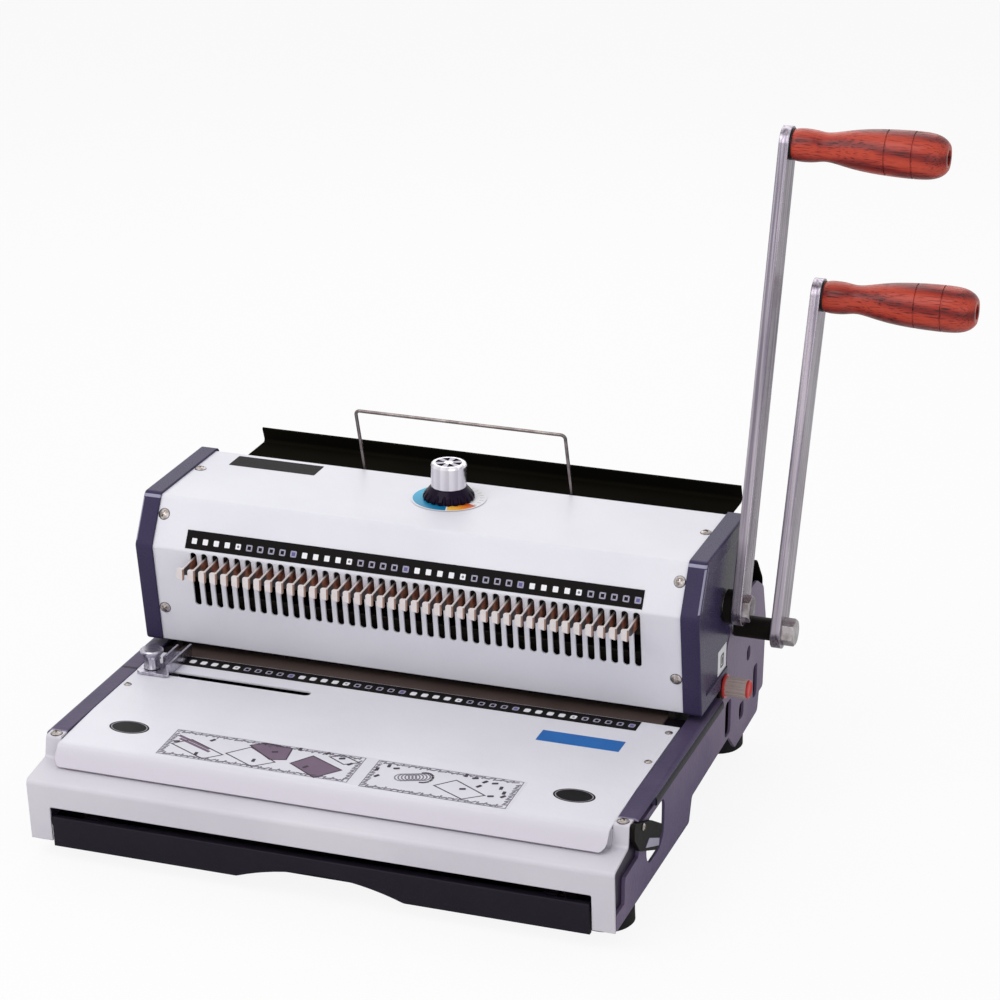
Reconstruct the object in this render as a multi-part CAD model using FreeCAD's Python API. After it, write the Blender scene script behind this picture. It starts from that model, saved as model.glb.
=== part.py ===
import FreeCAD, Part
import math
import os

# Wire binding machine: flat feed table in front, punching head behind, two levers on the right.
# Modelling frame in millimetres: x = 0 at the middle of the hole row, +x to the right,
# y = 0 at the lower front edge of the head, +y to the back, z = 0 near the lower edge of the panel.
Vec = FreeCAD.Vector

# Hole row
hole_count = 40
hole_pitch = 25.4 / 3
hole_x = [(i - (hole_count - 1) / 2) * hole_pitch for i in range(hole_count)]
hole_y = 14.0
pin_side = 3.9
hole_side = 4.1

# Overall forms
sheet = 1.5
head_half = 196.6
cover_out = 209.8
pan_half = 206.8
plate_in = 207.0
plate_out = 209.0
panel_half = 208.8
table_half = 197.2
table_z = 67.5
head_low = (0.0, 74.3)
head_fold = (-13.2, 150.6)
head_brow = (5.6, 184.1)
head_back = 104.0
head_top = head_brow[1]
frame_in = 184.0
frame_out = 188.0
desk_z = -11.0
skirt_low = 3.0

# Punch and closing drives
punch_axis = (57.0, 134.0)
closing_axis = (84.0, 109.0)
shaft_r = 6.5
running_gap = 0.05
tooth_module = 1.5
pressure = math.radians(25)
tip_height = 0.9
root_depth = 1.25
backlash = 0.16
punch_teeth = 14
closing_teeth = 19
punch_turn = 76.0
closing_turn = 80.0
punch_pitch_r = punch_teeth * tooth_module / 2
closing_pitch_r = closing_teeth * tooth_module / 2
punch_stroke = math.radians(punch_turn) * punch_pitch_r
closing_stroke = math.radians(closing_turn) * closing_pitch_r
punch_rack_x = 110.0
closing_rack_x = 140.0
rack_width = 12.0

# Levers: inner face, outer face, lean to the back and length from pivot to grip axis
bar_thick = 7.0
bar_wide = 25.0
punch_bar_x = 216.5
punch_lean = 15.95
punch_reach = 323.4
closing_bar_x = 238.0
closing_lean = 20.06
closing_reach = 237.6
grip_long = 108.0
grip_hole = 3.58
grip_profile = [(0, 10.5), (3, 11.3), (9, 11.6), (15, 11.2), (22, 10.2), (30, 11.0), (41, 13.2),
                (66, 15.9), (80, 16.4), (92, 16.2), (100, 14.9), (105, 12.4), (grip_long, 9.0)]
grip_grooves = (66.0, 85.0)

# Small moving parts
dial_at = (0.0, 67.0)
bail_pivot = (109.5, 174.0)
bail_half = 79.7
bail_wire_r = 1.25
bail_top = (89.0, 234.0)
guide_slot_y = -42.5
guide_x = -186.0
guide_travel = 116.0
margin_axis = (60.0, 71.5)
margin_teeth = 10
margin_module = 0.7
margin_pitch_r = margin_teeth * margin_module / 2
catch_pivot = (-148.0, 58.5)


def arc_corner(before, corner, after, radius):
    """Start, middle and end of the arc that rounds a corner of a flat outline."""
    a = (before - corner).normalize()
    b = (after - corner).normalize()
    half = a.getAngle(b) / 2
    reach = radius / math.tan(half)
    middle_way = (a + b).normalize()
    centre = corner + middle_way * (radius / math.sin(half))
    return corner + a * reach, centre - middle_way * radius, corner + b * reach


def rounded_edges(points, closed):
    """Straight runs and tangent arcs through (a, b) or (a, b, radius) points, as (u, v, 0) edges."""
    corners = [Vec(p[0], p[1], 0) for p in points]
    radii = [p[2] if len(p) > 2 else 0 for p in points]
    count = len(points)
    stops = []
    for i in range(count):
        if radii[i] > 0 and (closed or 0 < i < count - 1):
            before, after = Vec(corners[i - 1]), Vec(corners[(i + 1) % count])
            stops.append(arc_corner(before, Vec(corners[i]), after, radii[i]))
        else:
            stops.append((corners[i],))
    edges = []
    for i in range(count):
        here = stops[i]
        if len(here) == 3:
            edges.append(Part.Arc(*here).toShape())
        if i == count - 1 and not closed:
            break
        end = stops[(i + 1) % count][0]
        if (here[-1] - end).Length > 1e-6:
            edges.append(Part.LineSegment(here[-1], end).toShape())
    return edges


def outline_face(points):
    return Part.Face(Part.Wire(rounded_edges(points, True)))


def to_yz(shape):
    """Turn a flat (u, v) shape so that u lies along y and v along z."""
    turn = FreeCAD.Placement(Vec(0, 0, 0), FreeCAD.Rotation(Vec(1, 1, 1), 120))
    moved = shape.copy()
    moved.Placement = turn.multiply(moved.Placement)
    return moved


def to_xz(shape):
    """Turn a flat (u, v) shape so that u lies along x and v along z."""
    turn = FreeCAD.Placement(Vec(0, 0, 0), FreeCAD.Rotation(Vec(1, 0, 0), 90))
    moved = shape.copy()
    moved.Placement = turn.multiply(moved.Placement)
    return moved


def prism_x(points, x0, x1):
    face = to_yz(outline_face(points))
    face.translate(Vec(x0, 0, 0))
    return face.extrude(Vec(x1 - x0, 0, 0))


def prism_y(points, y0, y1):
    face = to_xz(outline_face(points))
    face.translate(Vec(0, y0, 0))
    return face.extrude(Vec(0, y1 - y0, 0))


def prism_z(points, z0, z1):
    face = outline_face(points)
    face.translate(Vec(0, 0, z0))
    return face.extrude(Vec(0, 0, z1 - z0))


def block(x0, x1, y0, y1, z0, z1):
    return Part.makeBox(x1 - x0, y1 - y0, z1 - z0, Vec(x0, y0, z0))


def rod_x(at, radius, x0, x1):
    return Part.makeCylinder(radius, x1 - x0, Vec(x0, at[0], at[1]), Vec(1, 0, 0))


def rod_z(at, radius, z0, z1):
    return Part.makeCylinder(radius, z1 - z0, Vec(at[0], at[1], z0), Vec(0, 0, 1))


def slot_points(a0, a1, b0, b1):
    """Outline with fully rounded ends along its longer side."""
    r = min(a1 - a0, b1 - b0) / 2 - 0.001
    return [(a0, b0, r), (a1, b0, r), (a1, b1, r), (a0, b1, r)]


def box_points(a0, a1, b0, b1, radius=0):
    return [(a0, b0, radius), (a1, b0, radius), (a1, b1, radius), (a0, b1, radius)]


def bent_sheet(path, thickness, x0, x1):
    """Sheet of even thickness folded along a (y, z, radius) path; the path is the side to its left."""
    count = len(path)
    pts = [Vec(p[0], p[1], 0) for p in path]
    other = []
    for i in range(count):
        before = (pts[i] - pts[i - 1]).normalize() if i > 0 else None
        after = (pts[i + 1] - pts[i]).normalize() if i < count - 1 else None
        first = before or after
        last = after or before
        n0 = Vec(first.y, -first.x, 0)
        n1 = Vec(last.y, -last.x, 0)
        mid = n0 + n1
        shift = mid * (2 * thickness / (mid.Length ** 2))
        radius = path[i][2] if len(path[i]) > 2 else 0
        if radius > 0:
            turn_left = first.x * last.y - first.y * last.x > 0
            radius = radius + thickness if turn_left else max(radius - thickness, 0.2)
        place = pts[i] + shift
        other.append((place.x, place.y, radius))
    return prism_x(list(path) + other[::-1], x0, x1)


def revolve(profile, at, axis, spline=False):
    """Turn an (along, radius) profile about an axis through a point."""
    pts = [Vec(r, 0, s) for s, r in profile]
    if spline:
        curve = Part.BSplineCurve()
        curve.interpolate(pts)
        side = [curve.toShape()]
    else:
        side = [Part.LineSegment(a, b).toShape() for a, b in zip(pts, pts[1:])]
    foot = Vec(0, 0, pts[0].z)
    head = Vec(0, 0, pts[-1].z)
    ends = [Part.LineSegment(foot, pts[0]).toShape()] if pts[0].x > 0 else []
    close = [Part.LineSegment(pts[-1], head).toShape()] if pts[-1].x > 0 else []
    ring = Part.Wire(ends + side + close + [Part.LineSegment(head, foot).toShape()])
    solid = Part.Face(ring).revolve(Vec(0, 0, 0), Vec(0, 0, 1), 360)
    turn = FreeCAD.Rotation(Vec(0, 0, 1), axis)
    solid.Placement = FreeCAD.Placement(at, turn)
    return solid


def fuse(parts):
    return parts[0].multiFuse(parts[1:]).removeSplitter() if len(parts) > 1 else parts[0]


def mirrored(shape):
    return shape.mirror(Vec(0, 0, 0), Vec(1, 0, 0))


def pan_head(at, normal, radius=4.0, height=2.1):
    return revolve([(0, radius), (0.5 * height, radius), (0.85 * height, 0.72 * radius),
                    (height, 0.3 * radius)], at, normal)


def hex_head(at, across, height):
    """Hexagon head with its chamfered crown, axis along +x."""
    corner = across / math.sqrt(3)
    hexagon = Part.makePolygon([Vec(0, corner * math.cos(a * math.pi / 3 + 0.3),
                                    corner * math.sin(a * math.pi / 3 + 0.3)) for a in range(7)])
    solid = Part.Face(hexagon).extrude(Vec(height, 0, 0))
    crown = revolve([(0, corner + 1), (height - 1.4, corner + 0.2), (height, corner - 1.4)],
                    Vec(0, 0, 0), Vec(1, 0, 0))
    solid = solid.common(crown)
    solid.translate(at)
    return solid


def involute(angle):
    return math.tan(angle) - angle


def pinion(axis, teeth, phase, x0, x1, module=tooth_module, bore=shaft_r):
    """Spur pinion with involute flanks; a tooth points along the phase angle in the yz plane."""
    pitch_r = teeth * module / 2
    base_r = pitch_r * math.cos(pressure)
    tip_r = pitch_r + tip_height * module
    root_r = pitch_r - root_depth * module
    slack = backlash * module / tooth_module / (2 * pitch_r)
    half = math.pi / (2 * teeth) - slack + involute(pressure)
    low = max(base_r, root_r + 0.01)
    radii = [low + (tip_r - low) * k / 3 for k in range(4)]
    side = [(root_r, half)] + [(r, half - involute(math.acos(base_r / r))) for r in radii]
    points = []
    for i in range(teeth):
        middle = phase + 2 * math.pi * i / teeth
        flank = [(r, middle - a) for r, a in side] + [(r, middle + a) for r, a in side[::-1]]
        points += [(axis[0] + r * math.cos(a), axis[1] + r * math.sin(a)) for r, a in flank]
    return prism_x(points, x0, x1).cut(rod_x(axis, bore, x0 - 1, x1 + 1))


def rack_edge(pitch_y, centre_z, below, above, module=tooth_module):
    """Toothed edge facing +y, from low to high, with a tooth space centred on centre_z."""
    pitch = math.pi * module
    slack = backlash * module / tooth_module / 2
    tip = pitch / 4 - slack - tip_height * module * math.tan(pressure)
    root = pitch / 4 - slack + root_depth * module * math.tan(pressure)
    tip_y = pitch_y + tip_height * module
    root_y = pitch_y - root_depth * module
    edge = []
    for k in range(-below, above):
        z = centre_z + (k + 0.5) * pitch
        edge += [(root_y, z - root), (tip_y, z - tip), (tip_y, z + tip), (root_y, z + root)]
    return edge


def teeth_for(stroke):
    """Rack teeth above the pinion that a downward stroke needs, with two more to stay in mesh."""
    return math.ceil(stroke / (math.pi * tooth_module)) + 2


# Base and housing

foot_r = 20.0
foot_places = [(189.0, -152.2), (-189.0, -152.2), (183.6, 137.6), (-183.6, 137.6)]
pan_z = 16.0
pan_y = (88.0, 157.0)
flange_low = 64.0
foot_shelf_y = (-173.0, -131.0)
guide_notch_y = (-57.0, -29.0)
rail_end = 47.0
frame_y = 6.0
plate_outline = [(-192.2, skirt_low, 3), (-23, skirt_low, 3), (-17, 20.5, 4), (77, 24.2, 4), (96, 8, 4),
                 (158, 11, 4), (161.5, 25, 2), (172, 25, 3), (175, 79, 14), (165, 108, 9),
                 (146, 119, 8), (88, 121, 14), (66, 98, 12), (66, 62, 2), (-157, 62, 4),
                 (-166.5, 51, 4), (-196.2, 46.6, 5)]
plate_opening = [(-127, 17.5, 12), (-85.5, 17.5, 15), (-85.5, 51.8, 7), (-127, 51.8, 7)]
plate_vents = [(122.5, 132, 64, 75), (143, 154, 26, 52), (66.5, 81.5, 27, 54), (105, 117.5, 24.5, 37.5)]
joggle = 3.0
joggle_zone = [(-215, 15), (-175, 15, 2), (-175, 33.5, 3), (-144, 35, 3), (-148.5, 53), (-148.5, 57, 2),
               (rail_end + 0.5, 57), (rail_end + 0.5, 90), (-215, 90)]


def rubber_feet():
    feet = []
    for x, y in foot_places:
        tall = (skirt_low if y < 0 else pan_z) - desk_z
        profile = [(0, foot_r - 1.5), (1.5, foot_r), (tall - 1, foot_r - 0.5), (tall, foot_r - 1)]
        feet.append(revolve(profile, Vec(x, y, desk_z), Vec(0, 0, 1)))
    return Part.makeCompound(feet)


def joggled_wall():
    """Plate whose front and upper border steps in, with a round-cornered joggle between the levels."""
    thick = plate_out - plate_in
    whole_depth = prism_x(plate_outline, plate_in - joggle, plate_out)
    tie_down = block(plate_in - joggle, plate_out, -163, rail_end, 60, table_z - sheet)
    blank = fuse([whole_depth, tie_down])
    zone_face = outline_face(joggle_zone)
    zone = to_yz(zone_face)
    zone.translate(Vec(plate_in - joggle, 0, 0))
    inner = blank.common(zone.extrude(Vec(thick, 0, 0)))
    step = to_yz(zone_face.makeOffset2D(thick).cut(zone_face))
    step.translate(Vec(plate_in - joggle, 0, 0))
    step = blank.common(step.extrude(Vec(thick + joggle, 0, 0)))
    outer_zone = to_yz(zone_face)
    outer_zone.translate(Vec(plate_in, 0, 0))
    outer = blank.common(block(plate_in, plate_out, -220, 200, -20, 130))
    main = outer.cut(outer_zone.extrude(Vec(thick, 0, 0)))
    return fuse([inner, step, main])


def side_plate(right):
    """Folded side plate on the right of the machine, mirrored for the left one."""
    flange_high = table_z - sheet
    under_table = block(frame_in, plate_in + 0.5, -112, frame_y, flange_low, flange_high)
    under_rail = block(table_half + 0.6, plate_in - joggle + 0.5, -163, rail_end, flange_low, flange_high)
    foot_shelf = block(172, plate_in + 0.5, *foot_shelf_y, skirt_low, skirt_low + 2)
    pan_flange = block(frame_out, plate_in + 0.5, pan_y[0] + 5, 150, pan_z, pan_z + 2)
    solid = fuse([joggled_wall(), under_table, under_rail, foot_shelf, pan_flange])
    cuts = [prism_x(box_points(*v, 4), 203, 212) for v in plate_vents]
    if right:
        cuts.append(rod_x(closing_axis, shaft_r + 0.6, 205, 212))
        cuts.append(prism_x(plate_opening, 203, 212))
        return solid.cut(Part.makeCompound(cuts))
    cuts.append(block(frame_in - 1, plate_in - 4, *guide_notch_y, flange_low - 1, table_z))
    return mirrored(solid.cut(Part.makeCompound(cuts)))


def side_rail(side):
    """Moulded trim along the table's edge, level with it and rounded to the outside."""
    section = [(table_half + 0.6, table_z - sheet), (plate_out + 0.3, table_z - sheet),
               (plate_out + 0.3, 60), (213, 60, 1), (213, table_z, 4.5), (table_half + 0.6, table_z, 0.5)]
    rail = prism_y(section, -157, rail_end)
    if side < 0:
        return mirrored(rail)
    return rail.cut(block(plate_out, 214, -158, -118, 59, table_z - 1.4))


def margin_bearing():
    """Black block beside the head that carries the outer end of the margin spindle."""
    body = prism_x([(49, 62), (66, 62, 2), (66, 80.5), (49, 80.5, 1)], plate_in, plate_out + 0.2)
    return body.cut(rod_x(margin_axis, 3 + running_gap, 205, 212))


def front_panel():
    """White sheet folded over the front, with tabs at its ends and the drawer opening below."""
    path = [(-157.5, table_z), (-166.4, table_z, 2.5), (-169, 52.5, 2.5), (-199.1, 48.2, 4), (-194.2, 2.6)]
    panel = bent_sheet(path[::-1], sheet, -panel_half, panel_half)
    window = prism_y(box_points(-193, 193, -10, 29, 1.5), -210, -150)
    under_lip = block(-table_half - 0.5, table_half + 0.5, -173, -150, 30, 80)
    return panel.cut(Part.makeCompound([window, under_lip]))


def feed_table():
    """White sheet over the front of the machine: flat, then easing down to a folded lip."""
    path = [(-182, 52.6), (-172.6, 65.4, 4), (-115.5, table_z, 25), (-9.7, table_z)]
    table = bent_sheet(path, sheet, -table_half, table_half)
    lip_mask = prism_y(box_points(-table_half, table_half, 52, 90, 7), -200, 0)
    table = table.common(lip_mask)
    slot_half = 4.0
    slot = prism_z(slot_points(guide_x - 5, guide_x + guide_travel + 6, guide_slot_y - slot_half,
                               guide_slot_y + slot_half), 60, 70)
    return table.cut(slot)


def base_pan():
    """Floor of the rear half, with its front edge turned up."""
    floor = block(-pan_half, pan_half, *pan_y, pan_z, pan_z + 2)
    notch = block(frame_out, plate_in + 1, pan_y[0] - 1, 151, pan_z - 1, pan_z + 3)
    lip = block(-170, 170, pan_y[0], pan_y[0] + 2, pan_z + 2, 30)
    return fuse([floor, lip]).cut(Part.makeCompound([notch, mirrored(notch)]))


def rear_cover():
    """Black closed back, with a rounded brow behind the head."""
    path = [(108, 134), (151, 134, 12), (170, 112, 9), (173, 79, 14), (169.6, 27, 2), (159.5, 27, 2),
            (157.6, pan_z + 2, 1), (153.2, pan_z + 2)]
    return bent_sheet(path, 2, -pan_half, pan_half)


# Chip drawer

drawer_half = 160.0
drawer_face_half = 191.5
drawer_low = -1.0
drawer_high = 22.0
arch_points = (-60.3, 3.0, 66.3)
arch_rise = 12.5


def chip_drawer():
    """Moulded tray whose front follows the lean of the panel and arches over a finger gap."""
    face_section = [(-194.8, drawer_low, 1), (-190.4, drawer_low), (-192.6, drawer_high),
                    (-197.1, drawer_high, 1)]
    face = prism_x(face_section, -drawer_face_half, drawer_face_half)
    tray = block(-drawer_half, drawer_half, -193, 36, drawer_low, drawer_high)
    hollow = block(-drawer_half + 2, drawer_half - 2, -190.5, 34, drawer_low + 2, drawer_high + 1)
    lips = [block(drawer_half - 1, drawer_half + 7, -190, 36, drawer_high - 1.8, drawer_high)]
    lips.append(mirrored(lips[0]))
    left, middle, right = arch_points
    low = drawer_low - 1
    arc = Part.Arc(Vec(left, low, 0), Vec(middle, low + arch_rise, 0), Vec(right, low, 0)).toShape()
    chord = Part.LineSegment(Vec(right, low, 0), Vec(left, low, 0)).toShape()
    arch_face = Part.Face(Part.Wire([arc, chord]))
    arch = to_xz(arch_face)
    arch.translate(Vec(0, -178, 0))
    arch = arch.extrude(Vec(0, -30, 0))
    thick = to_xz(arch_face.makeOffset2D(2))
    thick.translate(Vec(0, -178, 0))
    hood = thick.extrude(Vec(0, -16, 0)).common(block(-90, 90, -193, -176, drawer_low, drawer_high))
    rear_hood = to_xz(arch_face.makeOffset2D(2))
    rear_hood.translate(Vec(0, -176, 0))
    hood_room = block(-90, 90, -180, -175, drawer_low, drawer_high)
    rear_hood = rear_hood.extrude(Vec(0, -2, 0)).common(hood_room)
    return fuse([tray.cut(hollow), face] + lips + [hood, rear_hood]).cut(arch)


def drawer_guides():
    """Two folded runners that carry the drawer's lips."""
    top = drawer_high - 2.1
    section = [(drawer_half + 1.5, top - 1.5), (170.5, top - 1.5), (170.5, skirt_low), (172, skirt_low),
               (172, 27), (170.5, 27), (170.5, top), (drawer_half + 1.5, top)]
    runner = prism_y(section, -186, 48)
    return Part.makeCompound([runner, mirrored(runner)])


# Inner frame

frame_top = head_top - sheet
frame_outline = [(frame_y, pan_z + 2, 3), (frame_y, 140, 8), (12, frame_top, 8), (98, frame_top, 8),
                 (98, 110, 10), (152, 66, 12), (152, pan_z + 2, 3)]
tie_places = [(92.0, 164.0), (140.0, 44.0), (34.0, 40.0)]


def side_frame(side):
    frame = prism_x(frame_outline, frame_in, frame_out)
    bores = [rod_x(axis, 9, 180, 190) for axis in (punch_axis, closing_axis)]
    bores.append(rod_x(margin_axis, 3 + running_gap, 180, 190))
    frame = frame.cut(Part.makeCompound(bores))
    return frame if side > 0 else mirrored(frame)


def tie_rods():
    return Part.makeCompound([rod_x(at, 5, -frame_in, frame_in) for at in tie_places])


def shaft_bushes():
    bushes = []
    for axis in (punch_axis, closing_axis):
        body = rod_x(axis, 9, frame_in, frame_out).fuse(rod_x(axis, 11, frame_in - 1.5, frame_in))
        body = body.cut(rod_x(axis, shaft_r + running_gap, 180, 190))
        bushes += [body, mirrored(body)]
    return Part.makeCompound(bushes)


def square_holes(z0, z1):
    half = hole_side / 2
    holes = [block(x - half, x + half, hole_y - half, hole_y + half, z0, z1) for x in hole_x]
    return Part.makeCompound(holes)


die_top = table_z - 0.2


def die_block():
    """Steel die under the row of punches, its front edge meeting the table."""
    body = prism_x([(-9.2, 52, 1), (30, 52, 1), (30, die_top), (-9.2, die_top, 0.6)], -frame_in, frame_in)
    return body.cut(square_holes(50, 70))


def punch_guide_plate():
    body = block(-frame_in, frame_in, 6, 28, 75.5, 81.5).cut(block(172.4, 190, 16.4, 30, 70, 90))
    return body.cut(square_holes(74, 83))


# Head

slot_wide = 5.0
slot_low = 106.9
slot_high = 150.0


def head_cover():
    """White folded cover of the head, with a slot for every hook."""
    path = [head_low, (*head_fold, 3), (*head_brow, 3), (head_back, head_top, 2),
            (head_back, 135.5, 1), (111, 135.5)]
    cover = bent_sheet(path, sheet, -head_half, head_half)
    half = slot_wide / 2
    cuts = [prism_y(slot_points(x - half, x + half, slot_low, slot_high), -25, 6) for x in hole_x]
    cuts.append(rod_z(dial_at, 4.3, 170, 190))
    return cover.cut(Part.makeCompound(cuts))


cover_outline = [(-0.5, 72.6, 4), (-14.8, 151, 5), (4.4, 185.7, 5), (108, 185.7, 5), (108, 72.6, 3)]
cover_border = 12.0


def head_end_cover(side):
    """Moulded end of the head: rounded rim, stepped-in face, and a seat cut round the side plate."""
    cover = prism_x(cover_outline, head_half, cover_out)
    rim = [e for e in cover.Edges if abs(e.BoundBox.XMin - cover_out) < 0.01]
    cover = cover.makeFillet(1.6, rim)
    panel = to_yz(outline_face(cover_outline).makeOffset2D(-cover_border))
    panel.translate(Vec(cover_out - 1.2, 0, 0))
    hollow = to_yz(outline_face(cover_outline).makeOffset2D(-3.4))
    hollow.translate(Vec(head_half, 0, 0))
    plate_seat = to_yz(outline_face(plate_outline).makeOffset2D(0.4))
    plate_seat.translate(Vec(pan_half, 0, 0))
    bearing_seat = block(pan_half, cover_out + 1, 48.6, 67, 60, 80.9)
    bores = [rod_x(axis, shaft_r + 0.6, 190, 212) for axis in (punch_axis, closing_axis)]
    bores.append(rod_x(margin_axis, 3.6, 190, 212))
    cuts = [panel.extrude(Vec(5, 0, 0)), hollow.extrude(Vec(8, 0, 0)), plate_seat.extrude(Vec(8, 0, 0))]
    for cut in cuts + [bearing_seat] + (bores if side > 0 else []):
        cover = cover.cut(cut)
    return cover if side > 0 else mirrored(cover)


def face_point(a, b, z, out=0.0):
    """Point and outward normal on a head face between two fold lines, at height z."""
    share = (z - a[1]) / (b[1] - a[1])
    along = Vec(0, b[0] - a[0], b[1] - a[1]).normalize()
    normal = Vec(0, -along.z, along.y)
    return Vec(0, a[0] + share * (b[0] - a[0]), z) + normal * out, normal


def head_hole_scale():
    low, normal = face_point(head_fold, head_brow, 152.4)
    high, _ = face_point(head_fold, head_brow, 164.2)
    out = normal * 0.4
    points = [(p.y, p.z) for p in (low, low + out, high + out, high)]
    return prism_x(points, -171.5, 168.8)


def table_hole_scale():
    return block(-173, 169.8, -25.4, -10.4, table_z, table_z + 0.2)


def cover_screws():
    heads = []
    for side in (-1, 1):
        upper, upper_normal = face_point(head_fold, head_brow, 172)
        lower, lower_normal = face_point(head_low, head_fold, 101)
        heads.append(pan_head(Vec(side * 192, 63.5, head_top), Vec(0, 0, 1)))
        heads.append(pan_head(upper + Vec(side * 192, 0, 0), upper_normal))
        heads.append(pan_head(lower + Vec(side * 192, 0, 0), lower_normal))
        for y in (-20.8, -70.3):
            heads.append(pan_head(Vec(side * 192.4, y, table_z), Vec(0, 0, 1), 3.6, 1.6))
        heads.append(pan_head(Vec(side * 203, -162, table_z), Vec(0, 0, 1)))
    return heads


shelf_half = 188.3


def rear_shelf():
    """Black shelf behind the head with a leaning back lip."""
    path = [(170, 180.4), (174.7, 168.6, 2), (head_back, 168.6, 1), (head_back, 150)]
    return bent_sheet(path[::-1], sheet, -shelf_half, shelf_half)


def shelf_brackets():
    front = head_back + sheet
    wedge = prism_x([(front, 138), (front, 167.1), (156, 167.1), (156, 163)], 120, 123)
    return Part.makeCompound([wedge, mirrored(wedge)])


def bail_lugs():
    lug = prism_x([(head_back, 170, 0), (112.5, 170, 2), (112.5, 178, 3), (head_back, 178, 0)], 71.5, 76.5)
    lug = lug.cut(rod_x(bail_pivot, bail_wire_r + 0.06, 70, 78))
    return Part.makeCompound([lug, mirrored(lug)])


# Punching drive

punch_bite = 4.23
pin_tip = die_top + punch_stroke - punch_bite
bar_low = 96.0
bar_high = 112.0


def punch_shaft():
    return rod_x(punch_axis, shaft_r, -frame_out - 1.5, punch_bar_x + bar_thick)


def punch_pinions():
    starts = [side * punch_rack_x - rack_width / 2 for side in (-1, 1)]
    return Part.makeCompound([pinion(punch_axis, punch_teeth, math.pi, x, x + rack_width) for x in starts])


def sleeve(axis, radius, x0, x1):
    return rod_x(axis, radius, x0, x1).cut(rod_x(axis, shaft_r, x0 - 1, x1 + 1))


def lever_bar(axis, x0, lean, reach):
    """Flat steel bar with round ends, from its shaft to its grip."""
    along = Vec(math.sin(math.radians(lean)), math.cos(math.radians(lean)), 0)
    across = Vec(along.y, -along.x, 0) * (bar_wide / 2)
    a = Vec(axis[0], axis[1], 0)
    b = a + along * reach
    tip = b + along * (bar_wide / 2)
    tail = a - along * (bar_wide / 2)
    curves = [Part.Arc(a - across, tail, a + across), Part.LineSegment(a + across, b + across),
              Part.Arc(b + across, tip, b - across), Part.LineSegment(b - across, a - across)]
    bar = to_yz(Part.Face(Part.Wire([curve.toShape() for curve in curves])))
    bar.translate(Vec(x0, 0, 0))
    bar = bar.extrude(Vec(bar_thick, 0, 0))
    bar = bar.cut(rod_x(axis, shaft_r, x0 - 1, x0 + bar_thick + 1))
    return bar.cut(rod_x((b.x, b.y), 3.5, x0 - 1, x0 + bar_thick + 1))


def grip_axis(axis, lean, reach):
    angle = math.radians(lean)
    return (axis[0] + math.sin(angle) * reach, axis[1] + math.cos(angle) * reach)


punch_grip_axis = grip_axis(punch_axis, punch_lean, punch_reach)
closing_grip_axis = grip_axis(closing_axis, closing_lean, closing_reach)
washer_thick = 1.2


def grip_washer(at, x0):
    return rod_x(at, 11, x0, x0 + washer_thick).cut(rod_x(at, 3.5, x0 - 1, x0 + 3))


def grip_spindle(at, x0):
    """Steel pin through the bar, with its retaining head sunk in the end of the grip."""
    end = x0 + bar_thick + washer_thick + grip_long - 7
    return rod_x(at, 3.5, x0, end).fuse(rod_x(at, 5, end, end + 3)).removeSplitter()


def turned_grip(at, x0):
    """Turned wooden grip: bulb, waist, full belly, two scored rings and a counterbored end."""
    grip = revolve(grip_profile, Vec(x0, at[0], at[1]), Vec(1, 0, 0), spline=True)
    end = x0 + grip_long
    cuts = [rod_x(at, grip_hole, x0 - 1, end + 1), rod_x(at, 5.5, end - 7.2, end + 1)]
    for s in grip_grooves:
        outer = rod_x(at, 20, x0 + s - 0.6, x0 + s + 0.6)
        inner = rod_x(at, 15.1 if s < 70 else 15.6, x0 + s - 1, x0 + s + 1)
        cuts.append(outer.cut(inner))
    return grip.cut(Part.makeCompound(cuts))


def punch_bar():
    """Carrier of the punches."""
    return prism_x(box_points(8, 20, bar_low, bar_high, 1), -176, 176)


def punch_pins():
    half = pin_side / 2
    pins = []
    for i, x in enumerate(hole_x):
        tip = pin_tip if i % 2 else pin_tip + 0.8
        pins.append(block(x - half, x + half, hole_y - half, hole_y + half, tip, bar_low))
    return Part.makeCompound(pins)


def punch_racks():
    """Two toothed uprights, each with a foot screwed to the back of the punch bar."""
    pitch_y = punch_axis[0] - punch_pitch_r
    edge = rack_edge(pitch_y, punch_axis[1], 2, teeth_for(punch_stroke))
    back = pitch_y - root_depth * tooth_module
    front = back - 6
    top = edge[-1][1] + 1
    outline = [(20, 98), (back, 98)] + edge + [(back, top), (front, top), (front, 110), (20, 110)]
    rack = prism_x(outline, punch_rack_x - rack_width / 2, punch_rack_x + rack_width / 2)
    other = prism_x(outline, -punch_rack_x - rack_width / 2, -punch_rack_x + rack_width / 2)
    return Part.makeCompound([rack, other])


def rack_screws():
    heads = []
    for x in (-punch_rack_x, punch_rack_x):
        for dx in (-11, 11):
            heads.append(Part.makeCylinder(3, 4, Vec(x + dx, 8, 104), Vec(0, -1, 0)))
    return Part.makeCompound(heads)


# Closing drive

yoke_low = 163.0
yoke_high = 175.0
hook_bar_y = (-4.0, 2.0)
hook_bar_z = (130.0, 149.0)


def closing_shaft():
    return rod_x(closing_axis, shaft_r, -frame_out - 1.5, closing_bar_x + bar_thick)


def closing_pinions():
    starts = [side * closing_rack_x - rack_width / 2 for side in (-1, 1)]
    return Part.makeCompound([pinion(closing_axis, closing_teeth, math.pi, x, x + rack_width) for x in starts])


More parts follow.
